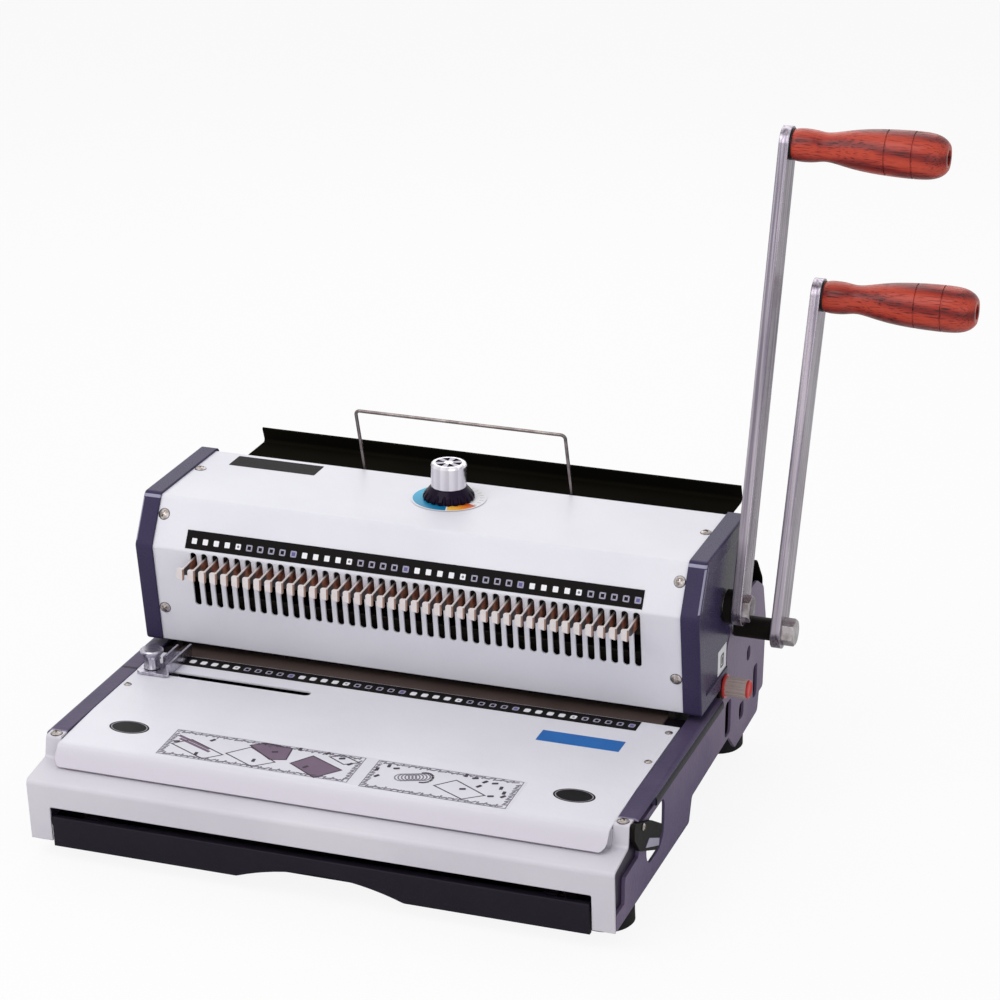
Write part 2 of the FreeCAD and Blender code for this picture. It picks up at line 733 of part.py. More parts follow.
def closing_yokes():
    """Two plates that hang the hook bar from a toothed limb behind the punch shaft."""
    pitch_y = closing_axis[0] - closing_pitch_r
    edge = rack_edge(pitch_y, closing_axis[1], 2, teeth_for(closing_stroke))
    back = pitch_y - root_depth * tooth_module
    limb = 64.0
    outline = [(limb, edge[0][1] - 1), (back, edge[0][1] - 1)] + edge + [
        (back, yoke_high, 3), (4, yoke_high, 3), (hook_bar_y[1], yoke_low), (hook_bar_y[1], 134), (9, 134),
        (9, yoke_low, 3), (limb, yoke_low, 2)]
    yoke = prism_x(outline, closing_rack_x - rack_width / 2, closing_rack_x + rack_width / 2)
    other = prism_x(outline, -closing_rack_x - rack_width / 2, -closing_rack_x + rack_width / 2)
    return Part.makeCompound([yoke, other])


def hook_bar():
    return block(-176, 176, hook_bar_y[0], hook_bar_y[1], hook_bar_z[0], hook_bar_z[1])


hook_tip_y = -28.4
hook_gauge = 1.2


def wire_hooks():
    """Flat steel hooks: an arm through the left of each slot and a tab folded to the left at its end."""
    hooks = []
    for x in hole_x:
        side = x - 1.9
        arm = prism_x([(hook_bar_y[0], 136.2), (-22, 136.2, 3), (hook_tip_y, 138.5), (hook_tip_y, 143.4),
                       (hook_bar_y[0], 144.8)], side, side + hook_gauge)
        tab = prism_y([(side - 4.3, 135.0, 1.5), (side + hook_gauge, 134.0, 1), (side + hook_gauge, 143.4),
                       (side - 4.3, 143.0, 1.5)], hook_tip_y, hook_tip_y + hook_gauge)
        hooks.append(arm.fuse(tab).removeSplitter())
    return Part.makeCompound(hooks)


# Dial, bail, guide, margin knob, catch

def dial_scale():
    return rod_z(dial_at, 24.5, head_top, head_top + 0.4).cut(rod_z(dial_at, 4.3, 180, 190))


def dial_skirt():
    """Black pointer skirt of the size dial, fluted round its rim."""
    base = head_top + 0.7
    profile = [(0, 18.6), (2.4, 18.6), (4.4, 17.2), (8.6, 13.6), (9.2, 12.8)]
    skirt = revolve(profile, Vec(*dial_at, base), Vec(0, 0, 1))
    flutes = []
    for k in range(20):
        a = 2 * math.pi * (k + 0.5) / 20
        outward = Vec(math.cos(a), math.sin(a), 0)
        foot = Vec(*dial_at, base - 1) + outward * 19.2
        flutes.append(Part.makeCylinder(1.5, 12, foot, Vec(0, 0, 1) - outward * 0.28))
    return skirt.cut(Part.makeCompound(flutes)).cut(rod_z(dial_at, 4, base - 1, base + 12))


def dial_cap():
    """Bright turned cap with wedge-shaped recesses round its top."""
    low = head_top + 9.9
    high = 211.5
    cap = revolve([(0, 12.6), (high - low - 2, 12.9), (high - low - 0.6, 12.4), (high - low, 11.4)],
                  Vec(*dial_at, low), Vec(0, 0, 1))
    wedges = []
    for k in range(6):
        a = 2 * math.pi * k / 6
        near = Vec(dial_at[0] + 2.5 * math.cos(a), dial_at[1] + 2.5 * math.sin(a), high - 0.9)
        far = [Vec(dial_at[0] + 9.6 * math.cos(a + d), dial_at[1] + 9.6 * math.sin(a + d), high - 0.9)
               for d in (-0.3, 0.3)]
        wedges.append(Part.Face(Part.makePolygon([near, far[0], far[1], near])).extrude(Vec(0, 0, 2)))
    return cap.cut(Part.makeCompound(wedges))


def dial_spindle():
    """Spindle through the head top, with the stop cam that sets the closing size."""
    spindle = rod_z(dial_at, 4, 152, head_top + 9.9)
    turns = 28
    points = []
    for k in range(turns):
        a = 2 * math.pi * k / turns
        r = 8 + 6 * k / turns
        points.append((dial_at[0] + r * math.cos(a), dial_at[1] + r * math.sin(a)))
    cam = prism_z(points, 152, 157)
    return spindle.fuse(cam).removeSplitter()


def wire_bail():
    """Bent wire loop, its feet turned inwards into the lugs."""
    corners = [Vec(71.5, *bail_pivot), Vec(bail_half, *bail_pivot), Vec(bail_half, *bail_top),
               Vec(-bail_half, *bail_top), Vec(-bail_half, *bail_pivot), Vec(-71.5, *bail_pivot)]
    radii = [0, 2.6, 3.5, 3.5, 2.6, 0]
    edges = []
    last = corners[0]
    for i in range(1, 5):
        start, middle, end = arc_corner(corners[i - 1], corners[i], corners[i + 1], radii[i])
        edges += [Part.LineSegment(last, start).toShape(), Part.Arc(start, middle, end).toShape()]
        last = end
    edges.append(Part.LineSegment(last, corners[5]).toShape())
    path = Part.Wire(edges)
    ring = Part.Wire(Part.makeCircle(bail_wire_r, corners[0], Vec(1, 0, 0)))
    return path.makePipeShell([ring], True, False)


guide_low = table_z + 0.5


def edge_guide():
    """Slide of the edge guide: foot under the knob and a channel-shaped arm with the paper stop."""
    foot = prism_z([(guide_x - 9, -52, 4), (guide_x + 16, -52, 2), (guide_x + 16, -9, 1), (guide_x + 4, -9, 1),
                    (guide_x + 4, -34, 2), (guide_x - 9, -34, 4)], guide_low, guide_low + 2)
    stop = block(guide_x + 14.4, guide_x + 16, -50, -9, guide_low + 2, guide_low + 9)
    back = block(guide_x + 4, guide_x + 5.6, -33, -9, guide_low + 2, guide_low + 7)
    body = fuse([foot, stop, back])
    return body.cut(rod_z((guide_x, guide_slot_y), 2.3, 60, 90))


def guide_clamp():
    """Square nut plate that rides under the table, with the stud that fills the slot."""
    plate = block(guide_x - 7, guide_x + 7, guide_slot_y - 8, guide_slot_y + 8, 61.5, table_z - sheet - 0.4)
    return plate.fuse(rod_z((guide_x, guide_slot_y), 2.2, 63, 84)).removeSplitter()


def guide_knob():
    """Lobed clamp knob with deep flutes under a flat crown."""
    at = (guide_x, guide_slot_y)
    low = guide_low + 2.3
    body = revolve([(0, 6.2), (3, 6.6), (5, 8.2), (16.4, 8.6), (17.6, 7.8)], Vec(*at, low), Vec(0, 0, 1))
    flutes = []
    for k in range(6):
        a = 2 * math.pi * k / 6 + 0.3
        centre = (at[0] + 9.4 * math.cos(a), at[1] + 9.4 * math.sin(a))
        flutes.append(rod_z(centre, 2.6, low - 1, low + 14.6))
    bore = rod_z(at, 2.25, low - 1, low + 14)
    return body.cut(Part.makeCompound(flutes + [bore]))


margin_knob_x = plate_out + 0.6
margin_ring = 1.6
margin_barrel = 15.0


def margin_knob():
    """Ribbed barrel of the margin knob."""
    low = margin_knob_x + margin_ring
    ribs = 14
    points = []
    for k in range(4 * ribs):
        a = 2 * math.pi * k / (4 * ribs)
        r = 7.2 if k % 4 < 2 else 6.6
        points.append((margin_axis[0] + r * math.cos(a), margin_axis[1] + r * math.sin(a)))
    barrel = prism_x(points, low, low + margin_barrel)
    return barrel.cut(rod_x(margin_axis, 3, 200, plate_out + 12))


def margin_knob_rings():
    """Coloured collar at the foot of the barrel and rim at its outer end."""
    collar = rod_x(margin_axis, 8.6, margin_knob_x, margin_knob_x + margin_ring)
    rim = revolve([(0, 6.6), (1.4, 6.7), (2.1, 5.6), (1.2, 4.8), (1.2, 0)],
                  Vec(margin_knob_x + margin_ring + margin_barrel, *margin_axis), Vec(1, 0, 0))
    return Part.makeCompound([collar.cut(rod_x(margin_axis, 3, 200, plate_out + 12)), rim])


def margin_spindle():
    """Spindle of the margin knob, with a small pinion that moves the depth stop."""
    rod = rod_x(margin_axis, 3, 184.5, plate_out + 12)
    gear = pinion(margin_axis, margin_teeth, math.pi / 2, 176.5, 183.5, margin_module, 1.5)
    core = rod_x(margin_axis, 1.5, 176, 184.5)
    return fuse([rod, core, gear])


def depth_stop():
    """Paper stop behind the punches, with a toothed arm over the margin pinion."""
    bar = block(-183, 174, 18.5, 26, table_z + 0.2, 75.2)
    edge = rack_edge(0, 0, 4, 4, margin_module)
    top = margin_axis[1] + margin_pitch_r
    teeth = [(margin_axis[0] + v, top - u) for u, v in edge]
    root_z = top + root_depth * margin_module
    arm_high = root_z + 1.4
    outline = [(18.5, root_z)] + teeth + [(76, root_z), (76, arm_high), (18.5, arm_high)]
    arm = prism_x(outline, 176.5, 183.5)
    post = block(173, 183.5, 18.5, 26, table_z + 0.2, arm_high)
    return fuse([bar, post, arm])


catch_outline = [(-166.5, 57, 3), (-168, 69, 3), (-158.2, 65.6, 2), (-126, 53, 4), (-98.5, 37.5, 3),
                 (-107, 31, 2), (-113.5, 25.5, 3), (-154, 43.5, 6)]
catch_pin_r = 1.6
catch_inner = plate_out + 0.3
catch_outer = plate_out + 3.4


def catch_lever():
    """Black catch outside the right plate; its tab reaches in through the opening to the drawer."""
    lever = prism_x(catch_outline, catch_inner, catch_outer)
    tab = prism_x([(-125.5, 38, 2), (-110, 31, 2), (-110, 37.5, 2), (-125.5, 44.5, 2)], 186, catch_inner + 0.5)
    return fuse([lever, tab]).cut(rod_x(catch_pivot, catch_pin_r + 0.05, 200, 220))


def catch_screw():
    end = catch_outer + 0.3
    head = revolve([(0, 2.6), (0.7, 2.6), (1.3, 1.9), (1.5, 0.9)], Vec(end, *catch_pivot), Vec(1, 0, 0))
    return fuse([rod_x(catch_pivot, catch_pin_r, plate_out, end), head])


punch_grip_x = punch_bar_x + bar_thick + washer_thick
closing_grip_x = closing_bar_x + bar_thick + washer_thick

nodes = {
    "rubber_feet": rubber_feet(),
    "side_plate_left": side_plate(False),
    "side_plate_right": side_plate(True),
    "side_rails": Part.makeCompound([side_rail(-1), side_rail(1)]),
    "front_panel": front_panel(),
    "feed_table": feed_table(),
    "margin_bearing": margin_bearing(),
    "base_pan": base_pan(),
    "rear_cover": rear_cover(),
    "drawer_guides": drawer_guides(),
    "side_frame_left": side_frame(-1),
    "side_frame_right": side_frame(1),
    "tie_rods": tie_rods(),
    "shaft_bushes": shaft_bushes(),
    "die_block": die_block(),
    "punch_guide_plate": punch_guide_plate(),
    "head_cover": head_cover(),
    "head_end_cover_left": head_end_cover(-1),
    "head_end_cover_right": head_end_cover(1),
    "hole_scales": Part.makeCompound([head_hole_scale(), table_hole_scale()]),
    "screws": Part.makeCompound(cover_screws() + [catch_screw()]),
    "rear_shelf": rear_shelf(),
    "shelf_brackets": shelf_brackets(),
    "bail_lugs": bail_lugs(),
    "dial_scale": dial_scale(),
    "chip_drawer": chip_drawer(),
    "punch_shaft": punch_shaft(),
    "punch_pinions": punch_pinions(),
    "punch_hub": sleeve(punch_axis, 12, cover_out + 0.4, punch_bar_x),
    "punch_lever_bar": lever_bar(punch_axis, punch_bar_x, punch_lean, punch_reach),
    "punch_lever_fasteners": Part.makeCompound([
        hex_head(Vec(punch_bar_x + bar_thick, *punch_axis), 17, 5),
        grip_spindle(punch_grip_axis, punch_bar_x)]),
    "punch_grip_washer": grip_washer(punch_grip_axis, punch_bar_x + bar_thick),
    "punch_grip": turned_grip(punch_grip_axis, punch_grip_x),
    "punch_bar": punch_bar(),
    "punch_pins": punch_pins(),
    "punch_racks": punch_racks(),
    "rack_screws": rack_screws(),
    "closing_shaft": closing_shaft(),
    "closing_pinions": closing_pinions(),
    "closing_sleeve": sleeve(closing_axis, 8, cover_out + 0.4, closing_bar_x),
    "closing_lever_bar": lever_bar(closing_axis, closing_bar_x, closing_lean, closing_reach),
    "closing_lever_fasteners": Part.makeCompound([
        hex_head(Vec(closing_bar_x + bar_thick, *closing_axis), 17.5, 9),
        grip_spindle(closing_grip_axis, closing_bar_x)]),
    "closing_grip_washer": grip_washer(closing_grip_axis, closing_bar_x + bar_thick),
    "closing_grip": turned_grip(closing_grip_axis, closing_grip_x),
    "hook_bar": hook_bar(),
    "wire_hooks": wire_hooks(),
    "closing_yokes": closing_yokes(),
    "dial_skirt": dial_skirt(),
    "dial_cap": dial_cap(),
    "dial_spindle": dial_spindle(),
    "wire_bail": wire_bail(),
    "edge_guide": edge_guide(),
    "guide_clamp": guide_clamp(),
    "guide_knob": guide_knob(),
    "margin_knob": margin_knob(),
    "margin_knob_rings": margin_knob_rings(),
    "margin_spindle": margin_spindle(),
    "depth_stop": depth_stop(),
    "catch_lever": catch_lever(),
}

# The part's own origin is the middle of its bounding box, on the desk
whole = FreeCAD.BoundBox()
for shape in nodes.values():
    whole.add(shape.BoundBox)
origin_shift = Vec(-whole.Center.x, -whole.Center.y, -whole.ZMin)

os.makedirs("parts", exist_ok=True)
for name, shape in nodes.items():
    placed = shape.copy()
    placed.translate(origin_shift)
    placed.exportStep("parts/" + name + ".step")
print("nodes", len(nodes), "shift", origin_shift, "size", whole.XLength, whole.YLength, whole.ZLength)
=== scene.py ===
import bpy
import bmesh
import math
from mathutils import Matrix, Vector


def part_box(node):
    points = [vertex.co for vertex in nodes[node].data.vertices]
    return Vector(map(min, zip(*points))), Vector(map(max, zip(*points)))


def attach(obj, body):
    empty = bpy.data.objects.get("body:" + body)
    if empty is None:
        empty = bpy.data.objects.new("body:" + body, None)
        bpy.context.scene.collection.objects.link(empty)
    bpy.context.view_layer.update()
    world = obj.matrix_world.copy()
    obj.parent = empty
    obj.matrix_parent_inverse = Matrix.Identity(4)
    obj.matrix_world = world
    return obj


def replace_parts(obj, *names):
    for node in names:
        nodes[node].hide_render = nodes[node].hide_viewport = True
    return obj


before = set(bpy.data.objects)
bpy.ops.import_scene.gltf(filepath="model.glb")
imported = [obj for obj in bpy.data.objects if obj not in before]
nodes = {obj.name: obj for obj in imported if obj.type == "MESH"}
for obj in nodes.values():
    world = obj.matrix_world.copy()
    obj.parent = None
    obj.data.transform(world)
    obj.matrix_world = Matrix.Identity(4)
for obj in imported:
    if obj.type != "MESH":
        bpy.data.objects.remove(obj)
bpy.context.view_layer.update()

# the drawing frame of the machine: x = 0 in the middle of the hole row, y = 0 at the head's lower front edge
dieSet = {"front": -9.2, "bottom": 52.0}  # where the die block's front and bottom stand in it, in millimetres
dieLow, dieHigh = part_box("die_block")
originShift = Vector(((dieLow.x + dieHigh.x) / 2, dieLow.y, dieLow.z))
originShift -= Vector((0, dieSet["front"], dieSet["bottom"])) / 1000


def at(x, y, z):  # millimetres of the drawing frame, as metres of the row frame
    return Vector((x, y, z)) / 1000 + originShift


def srgb(r, g, b):  # screen colour, 0 to 255, as the linear colour that a shader takes
    channels = [c / 255 for c in (r, g, b)]
    return tuple(c / 12.92 if c < 0.04 else ((c + 0.055) / 1.055) ** 2.4 for c in channels) + (1.0,)


# camera, light and floor
cameraSet = {
    "place": (756.4, -2015.2, 1019.6), "azimuth": 19.017, "elevation": 20.693, "roll": 0.24, "lens": 119.12,
}
lightSet = {
    "key": {"place": (-500, -900, 1500), "size": 1.3, "power": 13},
    "fill": {"place": (1300, -1500, 800), "size": 1.6, "power": 6},
    "back": {"place": (-300, 1200, 1300), "size": 1.4, "power": 7},
}
lampTarget = (0, 20, 90)
stageSet = {"world": 0.5, "glow": 0.9, "half": 4.0, "drop": 0.0002}


def aim(obj, target):
    obj.rotation_euler = (target - obj.location).to_track_quat("-Z", "Y").to_euler()


def makeCamera():
    data = bpy.data.cameras.new("photoCamera")
    data.lens = cameraSet["lens"]
    data.sensor_width = 36
    data.clip_end = 20
    camera = bpy.data.objects.new("photoCamera", data)
    turn = Matrix.Rotation(math.radians(cameraSet["azimuth"]), 4, "Z")
    tilt = Matrix.Rotation(math.radians(90 - cameraSet["elevation"]), 4, "X")
    roll = Matrix.Rotation(math.radians(cameraSet["roll"]), 4, "Z")
    camera.matrix_world = Matrix.Translation(at(*cameraSet["place"])) @ turn @ tilt @ roll
    bpy.context.scene.collection.objects.link(camera)
    bpy.context.scene.camera = camera


def makeLights():
    for name, each in lightSet.items():
        data = bpy.data.lights.new(name, "AREA")
        data.size = each["size"]
        data.energy = each["power"]
        lamp = bpy.data.objects.new(name, data)
        lamp.location = at(*each["place"])
        aim(lamp, at(*lampTarget))
        bpy.context.scene.collection.objects.link(lamp)


class Wire:  # one shader socket: Python's operators on it add the Math nodes
    def __init__(self, paint, socket):
        self.paint = paint
        self.socket = socket

    def maths(self, operation, other=None, swap=False):
        pair = [self] if other is None else [other, self] if swap else [self, other]
        return self.paint.add("ShaderNodeMath", {"operation": operation}, dict(enumerate(pair)))

    def __add__(self, other):
        return self.maths("ADD", other)

    def __sub__(self, other):
        return self.maths("SUBTRACT", other)

    def __rsub__(self, other):
        return self.maths("SUBTRACT", other, True)

    def __mul__(self, other):
        return self.maths("MULTIPLY", other)

    def __truediv__(self, other):
        return self.maths("DIVIDE", other)

    def __rtruediv__(self, other):
        return self.maths("DIVIDE", other, True)

    def __pow__(self, other):
        return self.maths("POWER", other)

    def __mod__(self, other):
        return self.maths("FLOORED_MODULO", other)

    def __lt__(self, other):
        return self.maths("LESS_THAN", other)

    def __gt__(self, other):
        return self.maths("GREATER_THAN", other)

    def __abs__(self):
        return self.maths("ABSOLUTE")

    __radd__ = __add__
    __rmul__ = __mul__

    def either(self, other):
        return self.maths("MAXIMUM", other)

    def within(self, low, high):
        return (self > low) * (self < high)

    def sine(self):
        return self.maths("SINE")

    def spread(self, low, high, outLow=0.0, outHigh=1.0):  # a soft step between low and high
        values = {"Value": self, "From Min": low, "From Max": high, "To Min": outLow, "To Max": outHigh}
        return self.paint.add("ShaderNodeMapRange", {"interpolation_type": "SMOOTHSTEP"}, values)


class Paint:  # one material, its Principled shader and its Object coordinates
    def __init__(self, name, **fixed):
        self.material = bpy.data.materials.new(name)
        self.material.use_nodes = True
        self.tree = self.material.node_tree
        self.shader = self.tree.nodes["Principled BSDF"]
        for key, value in fixed.items():
            self.shader.inputs[key.replace("_", " ")].default_value = value
        self.place = self.add("ShaderNodeTexCoord", out="Object")

    def add(self, kind, settings=None, values=None, out=0):
        node = self.tree.nodes.new(kind)
        for key, value in (settings or {}).items():
            if key == "stops":
                ramp = node.color_ramp.elements
                while len(ramp) < len(value):
                    ramp.new(0.5)
                for stop, (spot, colour) in zip(ramp, value):
                    stop.position = spot
                    stop.color = colour
            else:
                setattr(node, key, value)
        for key, value in (values or {}).items():
            self.feed(node.inputs[key], value)
        return Wire(self, node.outputs[out])

    def feed(self, socket, value):
        if isinstance(value, Wire):
            self.tree.links.new(value.socket, socket)
        else:
            socket.default_value = value

    def set(self, key, value):
        self.feed(self.shader.inputs[key], value)

    def moved(self, scale=(1, 1, 1), turn=(0, 0, 0), shift=(0, 0, 0), vector=None):
        values = {"Vector": vector or self.place, "Scale": scale, "Rotation": turn, "Location": shift}
        return self.add("ShaderNodeMapping", {}, values)

    def axes(self, vector=None):
        node = self.tree.nodes.new("ShaderNodeSeparateXYZ")
        self.feed(node.inputs[0], vector or self.place)
        return [Wire(self, out) for out in node.outputs]

    def drawing(self, place=(0, 0, 0)):  # millimetres of the drawing frame, counted from a place in it
        return [each * 1000.0 for each in self.axes(self.moved(shift=-at(*place)))]

    def noise(self, scale, detail=3.0, vector=None, roughness=0.5, distortion=0.0):
        values = {"Vector": vector or self.place, "Scale": scale, "Detail": detail, "Roughness": roughness,
                  "Distortion": distortion}
        return self.add("ShaderNodeTexNoise", {}, values, "Fac")

    def mix(self, share, first, second):
        return self.add("ShaderNodeMix", {"data_type": "RGBA"}, {0: share, 6: first, 7: second}, 2)

    def ramp(self, share, stops):
        return self.add("ShaderNodeValToRGB", {"stops": stops}, {"Fac": share})

    def bump(self, height, strength, distance, edge=0.0):
        values = {"Strength": strength, "Distance": distance, "Height": height}
        if edge > 0:
            values["Normal"] = self.add("ShaderNodeBevel", {"samples": 6}, {"Radius": edge})
        self.set("Normal", self.add("ShaderNodeBump", {}, values))


# the parts that carry print: places and sizes in millimetres of the drawing frame
dialSet = {
    "place": (0.0, 67.0), "top": 211.5, "crown": (3.4, 9.6), "wedges": (-1.6, -0.4), "wedgeReach": 9.9,
    "facets": 12, "facetStart": 0.3, "ring": (17.0, 25.9), "blue": (142.0, 284.0), "warm": (287.0, 339.0),
    "tickStep": 12.0, "tickHalf": 0.7, "tickSpan": (22.4, 25.4),
}
# hooks: where the painted highlight on the upper edges and the painted shade along the tabs' folds lie
hookSet = {
    "foldY": -27.0, "tip": (-28.4, 143.4), "rise": 0.0574, "edge": 0.7, "root": (-20.0, -14.0),
    "pitch": 25.4 / 3, "fold": 25.4 / 3 - 1.9,
}
# end covers: where the painted highlight lines along the brow and the upper front edges run
coverSet = {
    "brow": ((-14.8, 151.0), (4.4, 185.7)), "outer": 208.5, "highlightSpan": (154.0, 181.5),
    "lines": ((0.5, 0.6), (5.0, 0.4)), "browTop": (182.2, 184.2), "browDepth": 1.2,
}
headSet = {"foot": (0.0, 74.3), "brow": (-13.2, 150.6), "top": (5.6, 184.1)}
tableSet = {"lip": (-178.0, -166.0), "edge": (-172.6, 65.4), "bend": (-115.5, 67.5)}
leverSet = {
    "punch": {"lean": 15.95, "grip": (145.87, 444.95)},
    "closing": {"lean": 20.06, "grip": (165.5, 332.2)},
}
# side plates: the sunk border and the groove under the rails, both coloured as painted shade
sideSet = {"sunk": 206.6, "grooveZ": 57.0}
# rails: where the painted highlight along the edges, the painted shade below the outer edge and the dark band
# across the left rail lie
railSet = {"outer": 211.9, "front": -155.6, "edgeZ": 65.9, "gap": -42.7, "gapHalf": 1.6}
ovalSet = {"place": (161.0, -135.0), "size": (29.0, 18.5), "thick": 0.12, "ring": (0.86, 0.915)}


# finishes
def orangePeel(p, strength, edge=0.0008):  # the skin of powder coat, which gives back its grain
    grain = p.noise(900.0, 2.0)
    p.bump(grain + p.noise(260.0, 1.0) * 1.6, strength, 0.0003, edge)
    return grain


def powderCoat(name, light, dark, roughness, edge=0.0008, gloss=0.45, lip=None):
    p = Paint(name, Specular_IOR_Level=gloss)
    cloud = p.noise(9.0, 3.0)
    base = p.mix(cloud.spread(0.3, 0.7), light, dark)
    if lip:  # painted shade: a darker, duller tone down the folded lip, which faces forward and down
        base = p.mix(p.drawing()[1].spread(*tableSet["lip"], 1.0, 0.0), base, lip)
    p.set("Base Color", base)
    p.set("Roughness", orangePeel(p, 0.25, edge) * 0.12 + cloud * 0.08 + (roughness - 0.1))
    return p.material


def plastic(name, light, dark, roughness, scale=1400.0, grainStrength=0.3, edge=0.0005, gloss=0.5):
    p = Paint(name, Specular_IOR_Level=gloss)
    p.set("Base Color", p.mix(p.noise(40.0, 4.0), light, dark))
    grain = p.noise(scale, 2.0)
    p.set("Roughness", grain * 0.15 + (roughness - 0.07))
    p.bump(grain, grainStrength, 0.0002, edge)
    return p.material


def coverPlastic():  # end covers: moulded, with painted highlight lines along the upper front edges and along the brow's top edge
    p = Paint("endCoverMoulding", Specular_IOR_Level=0.09)
    x, y, z = p.drawing()
    (lowY, lowZ), (highY, highZ) = coverSet["brow"]
    length = math.hypot(highY - lowY, highZ - lowZ)
    depth = (y - lowY) * ((highZ - lowZ) / length) - (z - lowZ) * ((highY - lowY) / length)
    # painted highlight: a light line along the brow's top edge, and two along the upper front edges
    bright = (depth < coverSet["browDepth"]) * z.within(*coverSet["browTop"])
    span = (abs(x) > coverSet["outer"]) * z.within(*coverSet["highlightSpan"])
    for spot, half in coverSet["lines"]:
        bright = bright.either((abs(depth - spot) < half) * span)
    base = p.mix(p.noise(40.0, 4.0), srgb(66, 58, 88), srgb(54, 47, 76))
    p.set("Base Color", p.mix(bright * 0.8, base, srgb(170, 168, 192)))
    grain = p.noise(900.0, 2.0)
    p.set("Roughness", grain * 0.15 + 0.21)
    p.bump(grain, 0.12, 0.0002, 0.0012)
    return p.material


def sidePowder():  # side plates: painted shade, nearly black in the groove under the rails and dark over the joggled border
    p = Paint("sidePowder", Specular_IOR_Level=0.16)
    x, _, z = p.drawing()
    # painted shade: dark over the sunk border's step and nearly black in the groove under the rails' overhang
    sunk = abs(x) < sideSet["sunk"]
    groove = sunk * (z > sideSet["grooveZ"])
    cloud = p.noise(11.0, 3.0).spread(0.3, 0.7)
    face = p.mix(cloud, srgb(118, 101, 130), srgb(98, 86, 118))
    p.set("Base Color", p.mix(groove, p.mix(sunk, face, srgb(44, 36, 54)), srgb(16, 12, 18)))
    p.set("Roughness", orangePeel(p, 0.35) * 0.12 + cloud * 0.08 + 0.3)
    return p.material


def railPowder():  # rails: navy, with a painted highlight along the outer and the front edge, painted shade below the outer edge, and a thin dark band across the left rail beside the edge guide
    p = Paint("railPowder", Specular_IOR_Level=0.14)
    x, y, z = p.drawing()
    outer = abs(x) > railSet["outer"]
    below = z < railSet["edgeZ"]
    # painted highlight along the outer top edge and across the front end
    edgeHighlight = (outer * (1.0 - below)).either(y < railSet["front"])
    gap = abs(y - railSet["gap"]) < railSet["gapHalf"]
    # painted shade below the outer edge, and a thin dark band across the left rail beside the edge guide
    dark = (outer * below).either(gap * (x < 0.0))
    cloud = p.noise(14.0, 3.0).spread(0.3, 0.7)
    face = p.mix(cloud, srgb(84, 73, 101), srgb(70, 62, 90))
    p.set("Base Color", p.mix(dark, p.mix(edgeHighlight, face, srgb(132, 122, 148)), srgb(24, 18, 28)))
    p.set("Roughness", orangePeel(p, 0.35) * 0.12 + 0.34)
    return p.material


def metal(name, light, dark, roughness, stretch=(1, 1, 1), turn=(0, 0, 0), scale=700, strength=0.15,
          edge=0.0005):
    p = Paint(name, Metallic=1.0)
    streak = p.noise(scale, 3.0, p.moved(stretch, vector=p.moved(turn=turn)))
    smear = p.noise(18.0, 4.0, roughness=0.6)
    p.set("Base Color", p.mix(streak.spread(0.34, 0.66) * 0.6 + smear * 0.4, light, dark))
    p.set("Roughness", smear.spread(0.3, 0.75, roughness * 0.8, roughness * 1.35) + streak * 0.08)
    p.bump(streak, strength, 0.0002, edge)
    return p.material


def barSteel(name, lean):  # lever bars, streaked along their length
    return metal(name, (0.5, 0.45, 0.51, 1), (0.1, 0.085, 0.12, 1), 0.24, (1, 1, 0.012),
                 (math.radians(lean), 0, 0), 620.0, 0.4, 0.0011)


def stainedWood(name, grip):  # red stained, lacquered, with open pores along the grip
    p = Paint(name, Coat_Weight=0.12, Coat_Roughness=0.14, Specular_IOR_Level=0.25)
    _, axisY, axisZ = at(0, *grip)
    middle = p.moved(shift=(0, -axisY, -axisZ))
    x, y, z = p.axes(middle)
    wander = p.noise(26.0, 3.0, p.moved((0.45, 1, 1), vector=middle))
    rings = ((z * 420.0 + y * 160.0 + x * 14.0 + wander * 9.0).sine() * 0.5 + 0.5) ** 1.6
    pores = p.noise(1500.0, 2.0, p.moved((0.045, 1, 1), vector=middle))
    streak = pores.spread(0.52, 0.68)
    tone = rings * 0.7 + streak * 0.6
    stops = [(0.0, srgb(190, 70, 50)), (0.35, srgb(166, 52, 40)), (0.7, srgb(122, 32, 28)),
             (1.0, srgb(62, 16, 18))]
    p.set("Base Color", p.ramp(tone, stops))
    p.set("Roughness", streak * 0.2 + 0.34)
    p.bump(streak * -1.0 + rings * -0.3, 0.35, 0.0003)
    return p.material


def dialPrint():  # coloured size ring of the dial: blue, white gap, yellow to orange, white with ticks
    p = Paint("dialPrint", Specular_IOR_Level=0.2)
    x, y, _ = p.drawing((*dialSet["place"], 0))
    turn = (y.maths("ARCTAN2", x) * (180 / math.pi) + 360.0) % 360.0  # degrees, counted from +x
    far = (x * x + y * y) ** 0.5
    inside = far.within(*dialSet["ring"])
    blue = turn.within(*dialSet["blue"])
    warm = turn.within(*dialSet["warm"])
    sea = p.mix(turn.spread(*dialSet["blue"]), srgb(60, 176, 214), srgb(10, 116, 162))
    heat = [(0.0, srgb(246, 196, 84)), (0.55, srgb(236, 140, 30)), (1.0, srgb(196, 78, 28))]
    fire = p.ramp(turn.spread(*dialSet["warm"]), heat)
    step = dialSet["tickStep"]
    ticks = (abs(turn % step - step / 2) < dialSet["tickHalf"]) * far.within(*dialSet["tickSpan"])
    plain = p.mix(ticks * (1.0 - blue) * (1.0 - warm), srgb(226, 226, 230), srgb(140, 140, 148))
    colour = p.mix(blue * inside, plain, sea)
    p.set("Base Color", p.mix(warm * inside, colour, fire))
    p.set("Roughness", p.noise(60.0) * 0.1 + 0.34)
    return p.material


